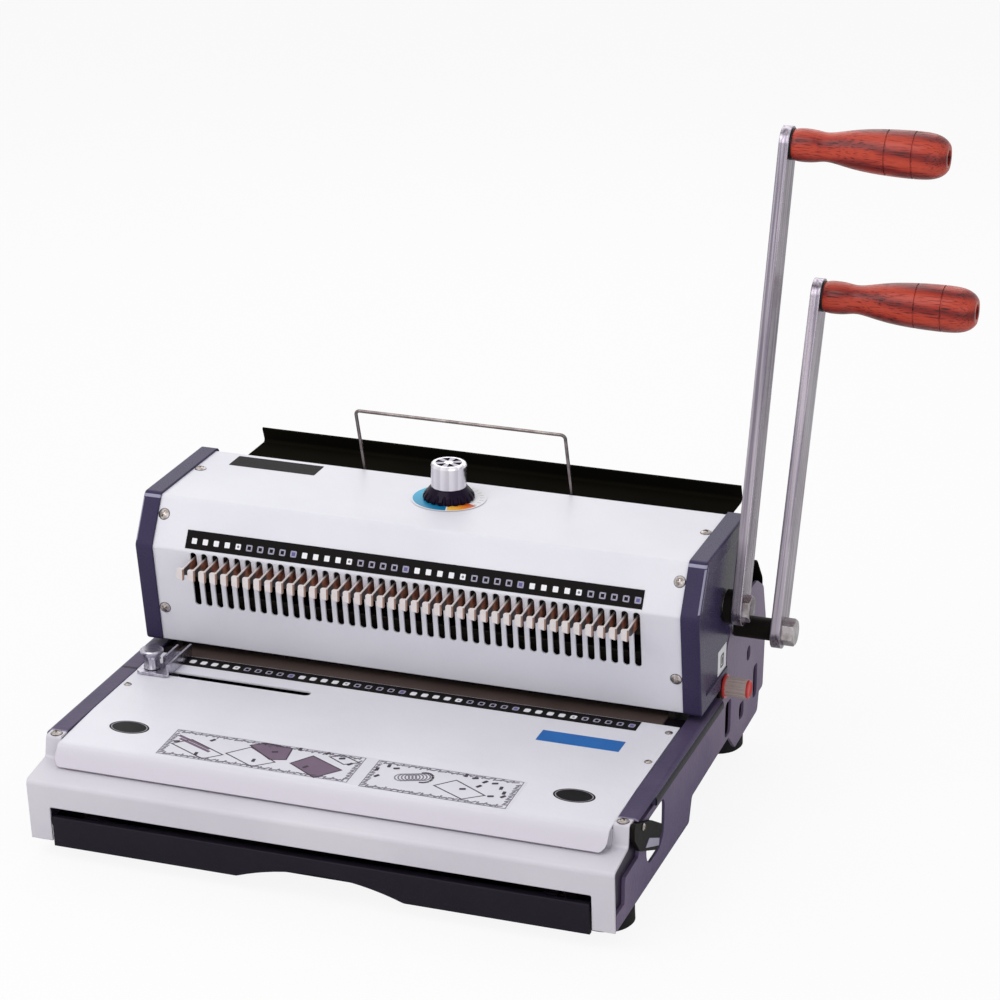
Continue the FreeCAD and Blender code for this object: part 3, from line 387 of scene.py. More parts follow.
def stickerPrint():  # oval stickers: plain field and a thin paler ring
    p = Paint("ovalFilm", Specular_IOR_Level=0.06)
    placeX, placeY = ovalSet["place"]
    wide, deep = ovalSet["size"]
    x, y, _ = p.drawing((0, placeY, 0))
    across = (abs(x) - placeX) / (wide / 2)
    along = y / (deep / 2)
    ring = ((across * across + along * along) ** 0.5).within(*ovalSet["ring"])
    p.set("Base Color", p.mix(ring, srgb(18, 16, 18), srgb(150, 146, 152)))
    p.set("Roughness", p.noise(300.0) * 0.12 + 0.3)
    return p.material


def hookSteel():  # arms brown near the slot and darker further out as painted shade, a painted highlight along their upper edges, folded tabs painted bright as lit, and painted shade along each tab's fold
    p = Paint("hookSteel", Metallic=0.3, Specular_IOR_Level=0.4)
    x, y, z = p.drawing()
    tipY, tipZ = hookSet["tip"]
    # painted highlight along the upper edges, and the tabs painted bright as lit
    upper = z > y * hookSet["rise"] + (tipZ - tipY * hookSet["rise"] - hookSet["edge"])
    bright = upper.either(y < hookSet["foldY"])
    cloud = p.noise(150.0, 3.0)
    brown = p.mix(cloud.spread(0.35, 0.65), srgb(214, 146, 116), srgb(150, 92, 74))
    # painted shade: the arm darkens from brown near the slot to nearly black further out
    arm = p.mix(y.spread(*hookSet["root"]), srgb(36, 28, 26), brown)
    tab = p.mix(cloud, srgb(238, 232, 232), srgb(216, 204, 202))
    # painted shade along the fold at each tab's edge
    across = (x + hookSet["pitch"] / 2) % hookSet["pitch"]  # counted from the middle of each hook
    fold = (across > hookSet["fold"]) * (y < hookSet["foldY"]) * (1.0 - upper)
    p.set("Base Color", p.mix(fold, p.mix(bright, arm, tab), srgb(150, 118, 104)))
    p.set("Roughness", cloud * 0.2 + 0.24)
    p.bump(p.noise(900.0, 2.0, p.moved((1, 0.1, 1))), 0.12, 0.0002, 0.0003)
    return p.material


def knobChrome():  # bright turned cap of the dial: painted shade in the sunk wedges of its crown and a greyer band of painted shade round them, and its side painted lighter and darker facet by facet as painted reflection
    p = Paint("knobChrome", Metallic=1.0)
    x, y, z = p.drawing((*dialSet["place"], dialSet["top"]))
    far = (x * x + y * y) ** 0.5
    # painted shade: near-black on the floors and walls of the sunk wedges
    sunk = z.within(*dialSet["wedges"]) * (far < dialSet["wedgeReach"])
    # painted shade: a greyer band over the crown round the wedges
    crown = (z > dialSet["wedges"][1]) * far.within(*dialSet["crown"])
    smear = p.noise(60.0, 3.0)
    # painted reflection: the side lighter and darker facet by facet
    facet = (y.maths("ARCTAN2", x) * (dialSet["facets"] / (2 * math.pi)) + dialSet["facetStart"]) % 1.0
    bright = p.mix(facet.spread(0.2, 0.8), (0.82, 0.8, 0.84, 1), (0.64, 0.61, 0.66, 1))
    side = p.mix(smear * 0.4, bright, (0.7, 0.67, 0.72, 1))
    top = p.mix(crown, side, (0.3, 0.28, 0.33, 1))
    p.set("Base Color", p.mix(sunk, top, (0.03, 0.025, 0.04, 1)))
    p.set("Roughness", sunk * 0.25 + smear * 0.08 + 0.2)
    return p.material


def film(name, light, dark, roughness=0.34, gloss=0.4):  # printed adhesive film
    p = Paint(name, Specular_IOR_Level=gloss)
    p.set("Base Color", p.mix(p.noise(55.0, 3.0), light, dark))
    p.set("Roughness", p.noise(420.0) * 0.14 + (roughness - 0.07))
    p.bump(p.noise(150.0, 2.0), 0.08, 0.0002)
    return p.material


white = powderCoat("whitePowder", srgb(229, 228, 236), srgb(222, 221, 230), 0.42)
# the table's white, with painted shade down its folded lip
tableWhite = powderCoat("tablePowder", srgb(233, 232, 240), srgb(226, 225, 234), 0.42,
                        lip=srgb(206, 201, 212))
# painted shade: the front panel takes a darker copy of the white powder, as it faces forward and down away
# from the lamps
panelWhite = powderCoat("panelPowder", srgb(214, 210, 219), srgb(206, 202, 212), 0.42)
sidePaint = sidePowder()
railPaint = railPowder()
endMould = coverPlastic()
drawerMould = plastic("drawerMoulding", srgb(31, 26, 38), srgb(23, 19, 29), 0.5, 900.0, 0.4, gloss=0.15)
blackPaint = powderCoat("blackPowder", srgb(23, 22, 17), srgb(18, 17, 13), 0.6, 0.0006, gloss=0.0)
satinBlack = powderCoat("satinBlack", srgb(30, 27, 25), srgb(23, 21, 19), 0.42, 0.0008, gloss=0.035)
blackPlastic = plastic("blackMoulding", srgb(20, 19, 20), srgb(28, 27, 29), 0.4, gloss=0.2)
skirtPlastic = plastic("dialSkirtMoulding", srgb(30, 18, 42), srgb(20, 13, 28), 0.16, 700.0, 0.1, 0.0004,
                       0.07)
rubber = plastic("footRubber", srgb(24, 23, 24), srgb(34, 33, 34), 0.75, 500.0, 0.6, 0.0006, 0.2)
greyPlastic = plastic("knobGrey", srgb(200, 184, 180), srgb(172, 154, 150), 0.4)
redPlastic = plastic("knobRed", srgb(216, 66, 62), srgb(196, 50, 48), 0.3, 1200.0, 0.1)
zinc = metal("zincPlate", (0.6, 0.6, 0.57, 1), (0.42, 0.43, 0.42, 1), 0.38)
steel = metal("machinedSteel", (0.62, 0.62, 0.63, 1), (0.42, 0.42, 0.43, 1), 0.3, (0.06, 1, 1))
# painted shade: the steel parts inside the machine are coloured near-black for the shade in which they are
# seen through its slots and gaps
shadedInnerSteel = metal("shadedInnerSteel", (0.05, 0.042, 0.036, 1), (0.024, 0.02, 0.018, 1), 0.5, (0.06, 1, 1))
throatSteel = powderCoat("throatSteel", srgb(86, 73, 70), srgb(68, 57, 54), 0.5, 0.0004, gloss=0.2)
punchBarSteel = barSteel("punchLeverSteel", leverSet["punch"]["lean"])
closingBarSteel = barSteel("closingLeverSteel", leverSet["closing"]["lean"])
chrome = metal("brightChrome", (0.5, 0.47, 0.48, 1), (0.22, 0.19, 0.19, 1), 0.14, scale=160.0, strength=0.04)
wireChrome = metal("wireChrome", (0.3, 0.26, 0.25, 1), (0.12, 0.1, 0.1, 1), 0.2, scale=120.0, strength=0.04)
capChrome = knobChrome()
screwSteel = metal("screwSteel", (0.62, 0.57, 0.55, 1), (0.2, 0.17, 0.16, 1), 0.24, scale=420.0, edge=0.0002)
hookNickel = hookSteel()
bronze = metal("sinteredBronze", (0.6, 0.42, 0.22, 1), (0.42, 0.28, 0.13, 1), 0.45)
punchWood = stainedWood("punchGripWood", leverSet["punch"]["grip"])
closingWood = stainedWood("closingGripWood", leverSet["closing"]["grip"])
guideChrome = metal("guideChrome", (0.62, 0.6, 0.66, 1), (0.3, 0.28, 0.34, 1), 0.22, (1, 1, 0.2), scale=420.0,
                    strength=0.3)
dialFilm = dialPrint()
ovalFilm = stickerPrint()
blackFilm = film("blackFilm", srgb(20, 17, 17), srgb(14, 12, 12), 0.5, 0.06)
blueFilm = film("blueFilm", srgb(26, 112, 190), srgb(14, 94, 172), 0.4, 0.2)
paleFilm = film("paleFilm", srgb(226, 225, 233), srgb(217, 216, 226), 0.45)
whiteFilm = film("whiteFilm", srgb(240, 239, 243), srgb(230, 229, 235), 0.45)
greyInk = film("greyInk", srgb(134, 129, 140), srgb(116, 111, 124), 0.5, 0.2)
# dark ink for print, also used for the rings of painted shade round the screw heads
darkInkAndShade = film("darkInkAndShade", srgb(76, 66, 76), srgb(58, 50, 58), 0.5, 0.15)
mauveInk = film("mauveInk", srgb(124, 104, 124), srgb(106, 88, 108), 0.5, 0.2)
lilacInk = film("lilacInk", srgb(176, 172, 190), srgb(156, 152, 174), 0.5, 0.2)
tenthInk = film("tenthInk", srgb(106, 102, 158), srgb(84, 80, 140), 0.5, 0.2)
print("finishes made", len(bpy.data.materials))

finishOf = {
    white: ["head_cover"],
    tableWhite: ["feed_table"],
    panelWhite: ["front_panel"],
    sidePaint: ["side_plate_left", "side_plate_right"],
    railPaint: ["side_rails"],
    endMould: ["head_end_cover_left", "head_end_cover_right"],
    drawerMould: ["chip_drawer"],
    blackPaint: ["rear_cover", "rear_shelf", "shelf_brackets"],
    satinBlack: ["closing_sleeve", "punch_hub", "margin_bearing", "catch_lever"],
    blackFilm: ["hole_scales"],
    dialFilm: ["dial_scale"],
    guideChrome: ["guide_knob", "edge_guide"],
    blackPlastic: ["punch_grip_washer", "closing_grip_washer"],
    skirtPlastic: ["dial_skirt"],
    capChrome: ["dial_cap"],
    rubber: ["rubber_feet"],
    zinc: ["base_pan", "guide_clamp"],
    throatSteel: ["die_block", "punch_guide_plate"],
    shadedInnerSteel: ["punch_bar", "punch_racks", "rack_screws", "hook_bar",
                 "closing_yokes", "side_frame_left", "side_frame_right", "tie_rods", "depth_stop",
                 "drawer_guides"],
    steel: ["punch_pins", "punch_shaft", "punch_pinions", "closing_shaft", "closing_pinions",
            "margin_spindle", "dial_spindle"],
    punchBarSteel: ["punch_lever_bar"],
    closingBarSteel: ["closing_lever_bar"],
    wireChrome: ["wire_bail"],
    screwSteel: ["screws"],
    chrome: ["bail_lugs", "punch_lever_fasteners", "closing_lever_fasteners"],
    hookNickel: ["wire_hooks"],
    bronze: ["shaft_bushes"],
    greyPlastic: ["margin_knob"],
    redPlastic: ["margin_knob_rings"],
    punchWood: ["punch_grip"],
    closingWood: ["closing_grip"],
}
for finish, names in finishOf.items():
    for name in names:
        mesh = nodes[name].data
        mesh.materials.clear()
        mesh.materials.append(finish)


# pieces: each is a bmesh in millimetres on its own seat, a matrix that lays it on a face of the machine
def seat(place, right, up):  # local x runs along right, y along up, and z points out of the face
    right = Vector(right).normalized()
    up = Vector(up).normalized()
    turn = Matrix((right, up, right.cross(up))).transposed().to_4x4()
    return Matrix.Translation(at(*place)) @ turn @ Matrix.Scale(0.001, 4)


def level(z):  # a level face
    return seat((0, 0, z), (1, 0, 0), (0, 1, 0))


def slope(low, high, place=None):  # the face between two corners of a bent sheet's outline
    return seat((0, *(place or low)), (1, 0, 0), (0, high[0] - low[0], high[1] - low[1]))


seats = {
    "drawing": level(0),
    "tableRear": level(tableSet["bend"][1]),
    "tableFront": slope(tableSet["edge"], tableSet["bend"], tableSet["bend"]),
    "headFront": slope(headSet["foot"], headSet["brow"]),
    "headBrow": slope(headSet["brow"], headSet["top"]),
    "headTop": level(headSet["top"][1]),
    "rightEnd": seat((208.6, 0, 0), (0, 1, 0), (0, 0, 1)),
    "catchFace": seat((212.4, 0, 0), (0, 1, 0), (0, 0, 1)),
}


def addMesh(target, part, matrix=None):  # moves a part's faces into the piece that is being built
    if matrix:
        bmesh.ops.transform(part, matrix=matrix, verts=part.verts)
    mesh = bpy.data.meshes.new("part")
    part.to_mesh(mesh)
    part.free()
    target.from_mesh(mesh)
    bpy.data.meshes.remove(mesh)


def thicken(bm, thick, rim=0.0):  # gives a flat face its thickness, after leaving only its rim where asked
    if rim > 0:
        bmesh.ops.inset_region(bm, faces=bm.faces[:], use_boundary=True, use_even_offset=True, thickness=rim)
        inner = max(bm.faces, key=lambda f: (len(f.verts), f.calc_area()))
        bmesh.ops.delete(bm, geom=[inner], context="FACES")
    made = bmesh.ops.extrude_face_region(bm, geom=bm.faces[:])
    up = [v for v in made["geom"] if isinstance(v, bmesh.types.BMVert)]
    bmesh.ops.translate(bm, vec=(0, 0, thick), verts=up)


def plate(size, place=(0, 0), corner=0.0, low=0.0, thick=0.12, rim=0.0, turn=0.0, lean=0.0):
    bm = bmesh.new()  # a flat plate, solid or with only its rim, turned and leaned into a diamond where asked
    bmesh.ops.create_grid(bm, x_segments=1, y_segments=1, size=0.5)
    bmesh.ops.scale(bm, vec=(*size, 1), verts=bm.verts)
    if corner > 0:
        bmesh.ops.bevel(bm, geom=bm.verts[:], offset=corner, affect="VERTICES", segments=4, profile=0.5)
    thicken(bm, thick, rim)
    shear = Matrix(((1, lean, 0, 0), (0, 1, 0, 0), (0, 0, 1, 0), (0, 0, 0, 1)))
    moved = Matrix.Translation((*place, low)) @ shear @ Matrix.Rotation(math.radians(turn), 4, "Z")
    bmesh.ops.transform(bm, matrix=moved, verts=bm.verts)
    return bm


def sheet(corners, low=0.0, thick=0.12, rim=0.0):  # a flat plate with any corners
    bm = bmesh.new()
    bmesh.ops.create_circle(bm, cap_ends=True, radius=1.0, segments=len(corners))
    for v, (x, y) in zip(bm.verts, corners):
        v.co = (x, y, 0)
    thicken(bm, thick, rim)
    bmesh.ops.translate(bm, vec=(0, 0, low), verts=bm.verts)
    return bm


def disc(size, place=(0, 0), low=0.0, thick=0.12, segments=48, rim=0.0):
    bm = bmesh.new()
    bmesh.ops.create_circle(bm, cap_ends=True, radius=0.5, segments=segments)
    bmesh.ops.scale(bm, vec=(*size, 1), verts=bm.verts)
    thicken(bm, thick, rim)
    bmesh.ops.translate(bm, vec=(*place, low), verts=bm.verts)
    return bm


def finishPiece(name, bm, finish, body, smoothAngle=35):
    bmesh.ops.remove_doubles(bm, verts=bm.verts, dist=1e-7)
    bmesh.ops.recalc_face_normals(bm, faces=bm.faces)
    mesh = bpy.data.meshes.new(name)
    bm.to_mesh(mesh)
    bm.free()
    mesh.shade_smooth()
    mesh.set_sharp_from_angle(angle=math.radians(smoothAngle))
    mesh.materials.append(finish)
    piece = bpy.data.objects.new(name, mesh)
    bpy.context.scene.collection.objects.link(piece)
    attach(piece, body)
    return piece


# floor and world
def makeStage():
    bm = bmesh.new()
    bmesh.ops.create_grid(bm, x_segments=1, y_segments=1, size=stageSet["half"])
    mesh = bpy.data.meshes.new("studioFloor")
    bm.to_mesh(mesh)
    bm.free()
    floor = bpy.data.objects.new("studioFloor", mesh)
    bpy.context.scene.collection.objects.link(floor)
    floor.location.z = -stageSet["drop"]
    p = Paint("floorPaper", Roughness=0.9)
    p.set("Base Color", p.mix(p.noise(3.0), (0.86, 0.86, 0.86, 1), (0.84, 0.84, 0.84, 1)))
    glow = p.add("ShaderNodeEmission", {}, {"Color": (1, 1, 1, 1), "Strength": 1.0})
    seen = p.add("ShaderNodeLightPath", out="Is Camera Ray")
    lit = Wire(p, p.shader.outputs[0])
    both = p.add("ShaderNodeMixShader", {}, {0: seen * stageSet["glow"], 1: lit, 2: glow})
    p.tree.links.new(both.socket, p.tree.nodes["Material Output"].inputs["Surface"])
    mesh.materials.append(p.material)
    world = bpy.data.worlds.new("studio")
    world.use_nodes = True
    bpy.context.scene.world = world
    tree = world.node_tree
    path = tree.nodes.new("ShaderNodeLightPath")
    far = tree.nodes["Background"]
    far.inputs["Color"].default_value = (1, 1, 1, 1)
    scale = tree.nodes.new("ShaderNodeMapRange")
    tree.links.new(path.outputs["Is Diffuse Ray"], scale.inputs["Value"])
    scale.inputs["To Min"].default_value = 1.0
    scale.inputs["To Max"].default_value = stageSet["world"]
    tree.links.new(scale.outputs["Result"], far.inputs["Strength"])


# printed hole marks on the two black strips: five filled squares, then five outlined ones, one for each hole
markSet = {
    "count": 40, "group": 5, "rim": 1.0, "inner": 1.9, "innerCorner": 0.3, "dot": 1.9, "thick": 0.05,
    "headBrow": {"filled": (3.9, 4.1), "outlined": (4.6, 4.6), "y": 8.0, "low": 0.4, "corner": 0.5},
    "tableRear": {"filled": (4.6, 5.6), "outlined": (4.6, 5.6), "y": -18.3, "low": 0.2, "corner": 1.3},
}


def makeHoleMarks():
    thick = markSet["thick"]
    last = markSet["group"] - 1
    inks = {"Filled": whiteFilm, "Outlined": lilacInk, "Tenth": tenthInk, "Counted": greyInk}
    for where in ("headBrow", "tableRear"):
        each = markSet[where]
        groups = {key: bmesh.new() for key in inks}
        for i in range(markSet["count"]):
            spot = ((i - (markSet["count"] - 1) / 2) * hookSet["pitch"], each["y"])
            if i // markSet["group"] % 2 == 0:
                mark = plate(each["filled"], spot, each["corner"], each["low"], thick)
                addMesh(groups["Filled"], mark, seats[where])
            else:
                mark = plate(each["outlined"], spot, each["corner"], each["low"], thick, markSet["rim"])
                addMesh(groups["Outlined"], mark, seats[where])
            if i % (2 * markSet["group"]) == last:  # a dot counts every fifth hole
                dot = disc((markSet["dot"], markSet["dot"]), spot, each["low"] + thick, thick, 12)
                addMesh(groups["Counted"], dot, seats[where])
            elif i % markSet["group"] == last:  # and a filled middle every tenth
                inner = [side - markSet["inner"] for side in each["outlined"]]
                middle = plate(inner, spot, markSet["innerCorner"], each["low"], thick)
                addMesh(groups["Tenth"], middle, seats[where])
        for key, ink in inks.items():
            finishPiece(where + "Marks" + key, groups[key], ink, "chassis")
    print("hole marks made")


# bare labels
labelSet = {
    "blue": {"seat": "tableRear", "size": (59.5, 17.0), "place": (139.2, -53.5), "corner": 0.6},
    "top": {"seat": "headTop", "size": (67.5, 20.0), "place": (-142.2, 88.0), "corner": 0.8},
    "side": {"seat": "rightEnd", "size": (21.5, 18.6), "place": (54.0, 94.2), "corner": 0.5},
    "guide": {"seat": "tableFront", "size": (254.0, 40.0), "place": (-1.0, -30.5), "corner": 1.5},
    "films": {"blue": blueFilm, "top": blackFilm, "side": whiteFilm, "guide": paleFilm},
    "ring": {"size": 54.6, "low": 0.45, "thick": 0.06, "rim": 9.6},
    "mark": {"place": (54.2, 93.6), "low": 0.12, "thick": 0.05, "ring": ((8.5, 10.0), 2.0, 1.6),
             "middle": ((3.0, 5.5), 0.8, 0.0)},
    "insert": [(-141.0, 40.0), (-133.0, 43.5), (-109.5, 32.5), (-110.5, 27.5)],
}


def makeLabels():
    for key, ink in labelSet["films"].items():
        each = labelSet[key]
        bm = bmesh.new()
        addMesh(bm, plate(each["size"], each["place"], each["corner"]), seats[each["seat"]])
        finishPiece(key + "Label", bm, ink, "chassis")
    ring = labelSet["ring"]
    bm = bmesh.new()
    span = (ring["size"], ring["size"])
    addMesh(bm, disc(span, dialSet["place"], ring["low"], ring["thick"], 96, ring["rim"]), seats["headTop"])
    finishPiece("dialRingPrint", bm, dialFilm, "chassis")
    bm = bmesh.new()
    for side in (-1, 1):
        spot = (side * ovalSet["place"][0], ovalSet["place"][1] - tableSet["bend"][0])
        addMesh(bm, disc(ovalSet["size"], spot, 0, ovalSet["thick"], 64), seats["tableFront"])
    finishPiece("ovalStickers", bm, ovalFilm, "chassis")
    bm = bmesh.new()
    mark = labelSet["mark"]
    for size, corner, rim in (mark["ring"], mark["middle"]):
        part = plate(size, mark["place"], corner, mark["low"], mark["thick"], rim)
        addMesh(bm, part, seats["rightEnd"])
    finishPiece("sideLabelMark", bm, darkInkAndShade, "chassis")
    bm = bmesh.new()
    addMesh(bm, sheet(labelSet["insert"], 0.0, 0.4), seats["catchFace"])
    finishPiece("catchInsert", bm, lilacInk, "catch_lever")
    print("labels made")


# generic picture strip in two frames: sheets, a strip of wire and closed booklets as plain shapes, and dashes
stripSet = {
    "low": 0.12, "thick": 0.05, "step": 2.6, "dash": (3.8, 1.5), "dashCorner": 0.3, "inset": 2.4,
    "line": 0.7, "rim": 1.0,
    "frames": [(-127.5, 11.5, -49.5, -12.0), (20.5, 124.0, -51.5, -12.0)],
    "outlines": [[(-81, -35), (-69, -22), (-46, -37), (-58, -47)],
                 [(69, -35), (80, -24), (104, -38), (92, -47)],
                 [(-122, -33), (-112, -24), (-84, -38), (-94, -47)],
                 [(-12, -18), (-4, -14), (8, -20), (0, -25)]],
    "filled": [[(-70, -19), (-62, -13), (-42, -15), (-40, -31), (-50, -34)],
               [(-34, -35), (-24, -21), (1, -34), (-12, -49)]],
    "bars": [((-109, -26.5), (31.0, 2.4)), ((-107, -30.5), (30.0, 2.4))], "barTurn": -24.5,
    "blob": (4.4, 2.4), "blobCorner": 0.6,
    "blobs": [(-121, -29), (-98, -20), (-101, -42), (-4, -18), (-23, -37), (84, -15), (91, -17), (99, -20),
              (112, -25), (109, -38), (117, -36), (30, -18), (36, -20), (4, -24), (-60, -39), (-51, -23),
              (27, -34), (24, -25), (88, -34), (97, -27), (116, -31), (106, -20), (-16, -14), (-36, -14)],
    "coil": {"place": (44, -31), "rings": 7, "size": 11.0, "step": (2.2, 0.8)},
    "arrow": {"place": (58, -27), "reach": (6, 7), "dashes": 7, "start": 110, "step": 32, "size": (3.4, 1.7)},
}


def makeBorder(target, left, right, front, back):  # uneven dashes inside a thin line
    low, thick, step, inset = [stripSet[key] for key in ("low", "thick", "step", "inset")]
    dash, corner = stripSet["dash"], stripSet["dashCorner"]
    table = seats["tableFront"]
    corners = [(left, front), (right, front), (right, back), (left, back)]
    addMesh(target, sheet(corners, low, thick, stripSet["line"]), table)
    for k in range(1, int((right - left) / step)):
        turn = 38 + 22 * (k * 7 % 5 - 2)
        for y in (back - inset, front + inset):
            spot = (left + k * step, y + 0.5 * (k * 5 % 3 - 1))
            addMesh(target, plate(dash, spot, corner, low, thick, turn=turn), table)
    for k in range(2, int((back - front) / step) - 1):
        turn = 60 - 25 * (k % 3)
        for x in (left + inset, right - inset):
            addMesh(target, plate(dash, (x, front + k * step), corner, low, thick, turn=turn), table)


def makePictures():
    low, thick, rim = stripSet["low"], stripSet["thick"], stripSet["rim"]
    table = seats["tableFront"]
    dark, grey, mauve = bmesh.new(), bmesh.new(), bmesh.new()
    for each in stripSet["frames"]:
        makeBorder(grey, *each)
    for corners in stripSet["outlines"]:
        addMesh(dark, sheet(corners, low, thick, rim), table)
    for corners in stripSet["filled"]:
        addMesh(mauve, sheet(corners, low, thick), table)
        addMesh(dark, sheet(corners, low + thick, thick, rim), table)
    for spot, size in stripSet["bars"]:
        addMesh(mauve, plate(size, spot, 0, low, thick, turn=stripSet["barTurn"]), table)
    blob, corner = stripSet["blob"], stripSet["blobCorner"]
    for k, spot in enumerate(stripSet["blobs"]):
        addMesh(dark, plate(blob, spot, corner, low + 2 * thick, thick, turn=20 + 37 * (k % 3)), table)
    coil = stripSet["coil"]
    for k in range(coil["rings"]):  # an opened coil of wire, as a row of rings
        spot = [start + k * step for start, step in zip(coil["place"], coil["step"])]
        addMesh(grey, disc((coil["size"], coil["size"]), spot, low + 0.01 * k, thick, 18, rim), table)
    arrow = stripSet["arrow"]
    for k in range(arrow["dashes"]):  # and an arrow's arc beside it
        turn = arrow["start"] - arrow["step"] * k
        way = (math.cos(math.radians(turn)), math.sin(math.radians(turn)))
        spot = [middle + reach * part for middle, reach, part in zip(arrow["place"], arrow["reach"], way)]
        addMesh(dark, plate(arrow["size"], spot, 0, low + 0.08, thick, turn=turn - 90), table)
    finishPiece("picturesDark", dark, darkInkAndShade, "chassis")
    finishPiece("picturesGrey", grey, greyInk, "chassis")
    finishPiece("picturesMauve", mauve, mauveInk, "chassis")
    print("picture strip made")


# cross-recessed screw heads, which stand for the plain heads of the frame, each in a thin dark ring of
# painted shade
screwSet = {
    "radius": 4.0, "height": 2.1, "dome": 0.75, "cross": (0.16, 0.6), "depth": 1.3, "turn": 0.3,
    "turnStep": 0.47,
    # the thin dark ring of painted shade round each head
    "gap": {"radius": 4.3, "rim": 0.7, "low": 0.02, "thick": 0.03},
    "places": [("headTop", 192, 63.5, 1.0), ("headBrow", 192, 24.5, 1.0), ("headFront", 192, 27.1, 1.0),
               ("tableRear", 192.4, -20.8, 0.66), ("tableRear", 192.4, -70.3, 0.66),
               ("tableRear", 203, -162, 1.0)],
    "catch": {"place": (212.7, -148.0, 58.5), "size": 0.65, "turn": 0.9},
}


def crossHead(size, turn):
    bm = bmesh.new()
    inner, outer = screwSet["cross"]
    lines = [-1.0, -outer, -inner, inner, outer, 1.0]
    cells = len(lines) - 1
    bmesh.ops.create_grid(bm, x_segments=cells, y_segments=cells, size=1.0)
    for v in bm.verts:
        column = round((v.co.x + 1) * cells / 2)
        row = round((v.co.y + 1) * cells / 2)
        v.co.x, v.co.y = lines[column], lines[row]
        if column in (0, cells) or row in (0, cells):
            v.co = v.co.normalized()
    recess = [f for f in bm.faces if min(abs(f.calc_center_median().x), abs(f.calc_center_median().y)) < inner
              and f.calc_center_median().length < outer]
    for v in bm.verts:
        v.co.z = (1 - v.co.xy.length ** 2 * screwSet["dome"]) * screwSet["height"] / screwSet["radius"]
    sunk = bmesh.ops.extrude_face_region(bm, geom=recess)
    low = [v for v in sunk["geom"] if isinstance(v, bmesh.types.BMVert)]
    bmesh.ops.delete(bm, geom=recess, context="FACES_ONLY")
    bmesh.ops.translate(bm, vec=(0, 0, -screwSet["depth"] / screwSet["radius"]), verts=low)
    rim = [e for e in bm.edges if e.is_boundary]
    skirt = bmesh.ops.extrude_edge_only(bm, edges=rim)
    for v in [v for v in skirt["geom"] if isinstance(v, bmesh.types.BMVert)]:
        v.co.z = 0.0
    bmesh.ops.holes_fill(bm, edges=[e for e in bm.edges if e.is_boundary])
    scale = screwSet["radius"] * size
    bmesh.ops.transform(bm, matrix=Matrix.Rotation(turn, 4, "Z") @ Matrix.Scale(scale, 4), verts=bm.verts)
    return bm


def makeScrews():
    bm = bmesh.new()
    shadowRings = bmesh.new()
    turn = screwSet["turn"]
    gap = screwSet["gap"]
    for where, x, y, size in screwSet["places"]:
        for side in (-1, 1):
            head = crossHead(size, turn)
            bmesh.ops.translate(head, vec=(side * x, y, 0), verts=head.verts)
            addMesh(bm, head, seats[where])
            # painted shade: a thin dark ring round each head, for the shadow in its countersink
            span = (2 * gap["radius"] * size, 2 * gap["radius"] * size)
            ring = disc(span, (side * x, y), gap["low"], gap["thick"], 32, gap["rim"])
            addMesh(shadowRings, ring, seats[where])
            turn += screwSet["turnStep"]
    finishPiece("screwShadowRings", shadowRings, darkInkAndShade, "chassis")
    catch = screwSet["catch"]
    addMesh(bm, crossHead(catch["size"], catch["turn"]), seat(catch["place"], (0, 1, 0), (0, 0, 1)))
    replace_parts(finishPiece("crossScrews", bm, screwSteel, "chassis", 50), "screws")
    print("screws made")


# knurled screw of the edge guide: a flange on a waisted, fluted stem
knobSet = {
    "place": (-186.0, -42.5), "segments": 64, "flutes": 8, "depth": 0.07, "fluted": (71.0, 81.2),
    "profile": [(0.0, 84.7), (7.5, 84.7), (8.4, 83.9), (8.4, 82.4), (7.6, 81.4), (5.9, 79.6), (5.3, 77.0),
                (5.4, 73.5), (6.0, 71.8), (6.0, 70.5), (0.0, 70.5)],
}


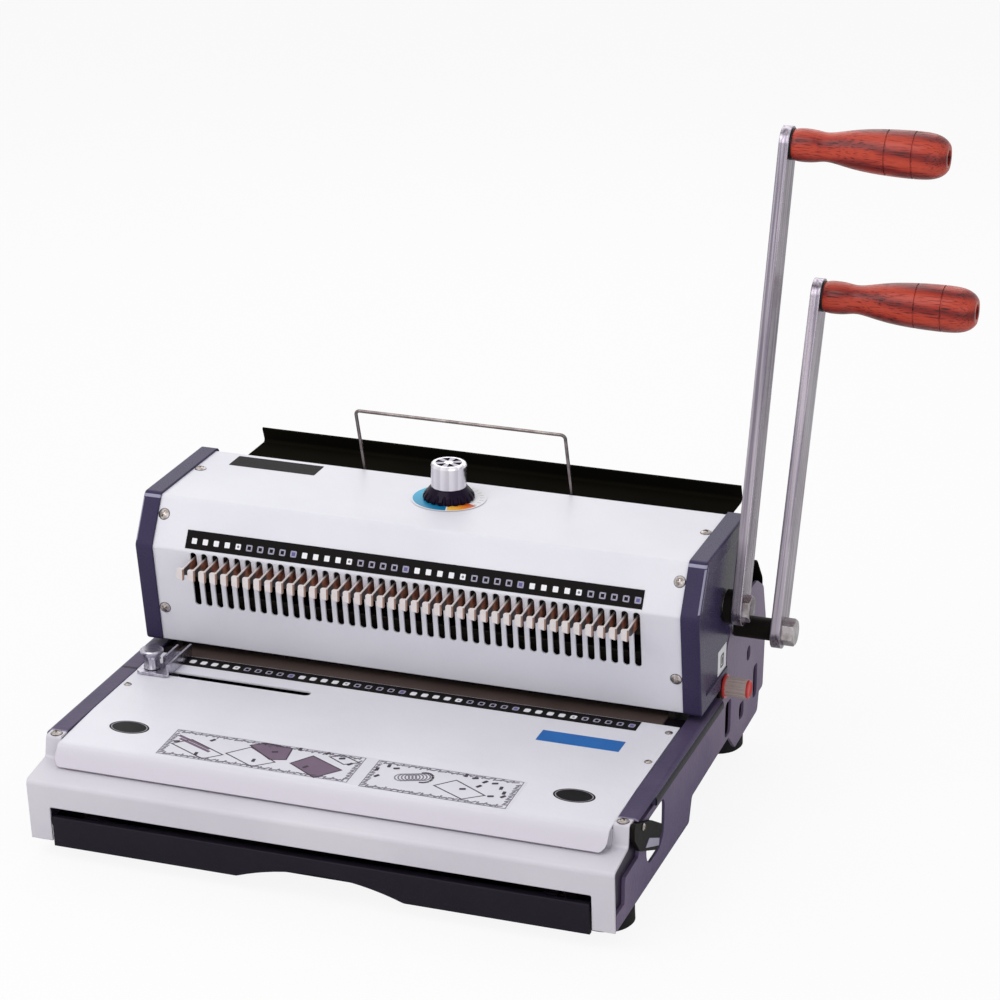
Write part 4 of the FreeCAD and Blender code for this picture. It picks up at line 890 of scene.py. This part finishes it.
def makeGuideKnob():
    bm = bmesh.new()
    row = [bm.verts.new((radius, 0, z)) for radius, z in knobSet["profile"]]
    for a, b in zip(row, row[1:]):
        bm.edges.new((a, b))
    bmesh.ops.spin(bm, geom=bm.verts[:] + bm.edges[:], cent=(0, 0, 0), axis=(0, 0, 1), angle=2 * math.pi,
                   steps=knobSet["segments"], use_merge=True)
    low, high = knobSet["fluted"]
    for v in bm.verts:
        if low < v.co.z < high:
            angle = math.atan2(v.co.y, v.co.x)
            v.co.xy = v.co.xy * (1 + knobSet["depth"] * math.cos(knobSet["flutes"] * angle))
    bmesh.ops.transform(bm, matrix=seat((*knobSet["place"], 0), (1, 0, 0), (0, 1, 0)), verts=bm.verts)
    piece = finishPiece("guideScrewKnob", bm, guideChrome, "guide_knob", 40)
    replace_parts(piece, "guide_knob")
    print("guide knob made")


# folded sheets: one behind the drawer, which closes the view through the table's slot, and one behind each
# corner of the table's lip
foldSet = {
    # painted shade: the sheet behind the drawer is painted black so that the view through the table's slot
    # shows dark
    "drawerStop": {"spans": [(-183.0, 183.0)], "path": [(49.6, 36.0), (49.6, 15.0), (88.4, 15.0)],
                   "thick": 1.2, "bend": 2.0},
    "lipBacking": {"spans": [(-197.6, -187.0), (187.0, 197.6)],
                   "path": [(-167.4, 63.4), (-169.6, 52.0), (-173.0, 51.5)], "thick": 1.0, "bend": 0.8},
}


def makeFolded(name, finish):
    each = foldSet[name]
    bm = bmesh.new()
    for left, right in each["spans"]:
        part = bmesh.new()
        row = [part.verts.new((left, y, z)) for y, z in each["path"]]
        for a, b in zip(row, row[1:]):
            part.edges.new((a, b))
        swept = bmesh.ops.extrude_edge_only(part, edges=part.edges[:])
        far = [v for v in swept["geom"] if isinstance(v, bmesh.types.BMVert)]
        bmesh.ops.translate(part, vec=(right - left, 0, 0), verts=far)
        fold = [e for e in part.edges if len(e.link_faces) == 2]
        bmesh.ops.bevel(part, geom=fold, offset=each["bend"], affect="EDGES", segments=4, profile=0.5)
        bmesh.ops.recalc_face_normals(part, faces=part.faces)
        bmesh.ops.solidify(part, geom=part.faces[:], thickness=each["thick"])
        addMesh(bm, part, seats["drawing"])
    finishPiece(name, bm, finish, "chassis")
    print("folded sheet made", name)


makeCamera()
makeLights()
makeHoleMarks()
makeLabels()
makePictures()
makeScrews()
makeGuideKnob()
makeFolded("drawerStop", blackPaint)
makeFolded("lipBacking", panelWhite)
makeStage()
bpy.context.scene.view_settings.view_transform = "Standard"
print("stage ready")
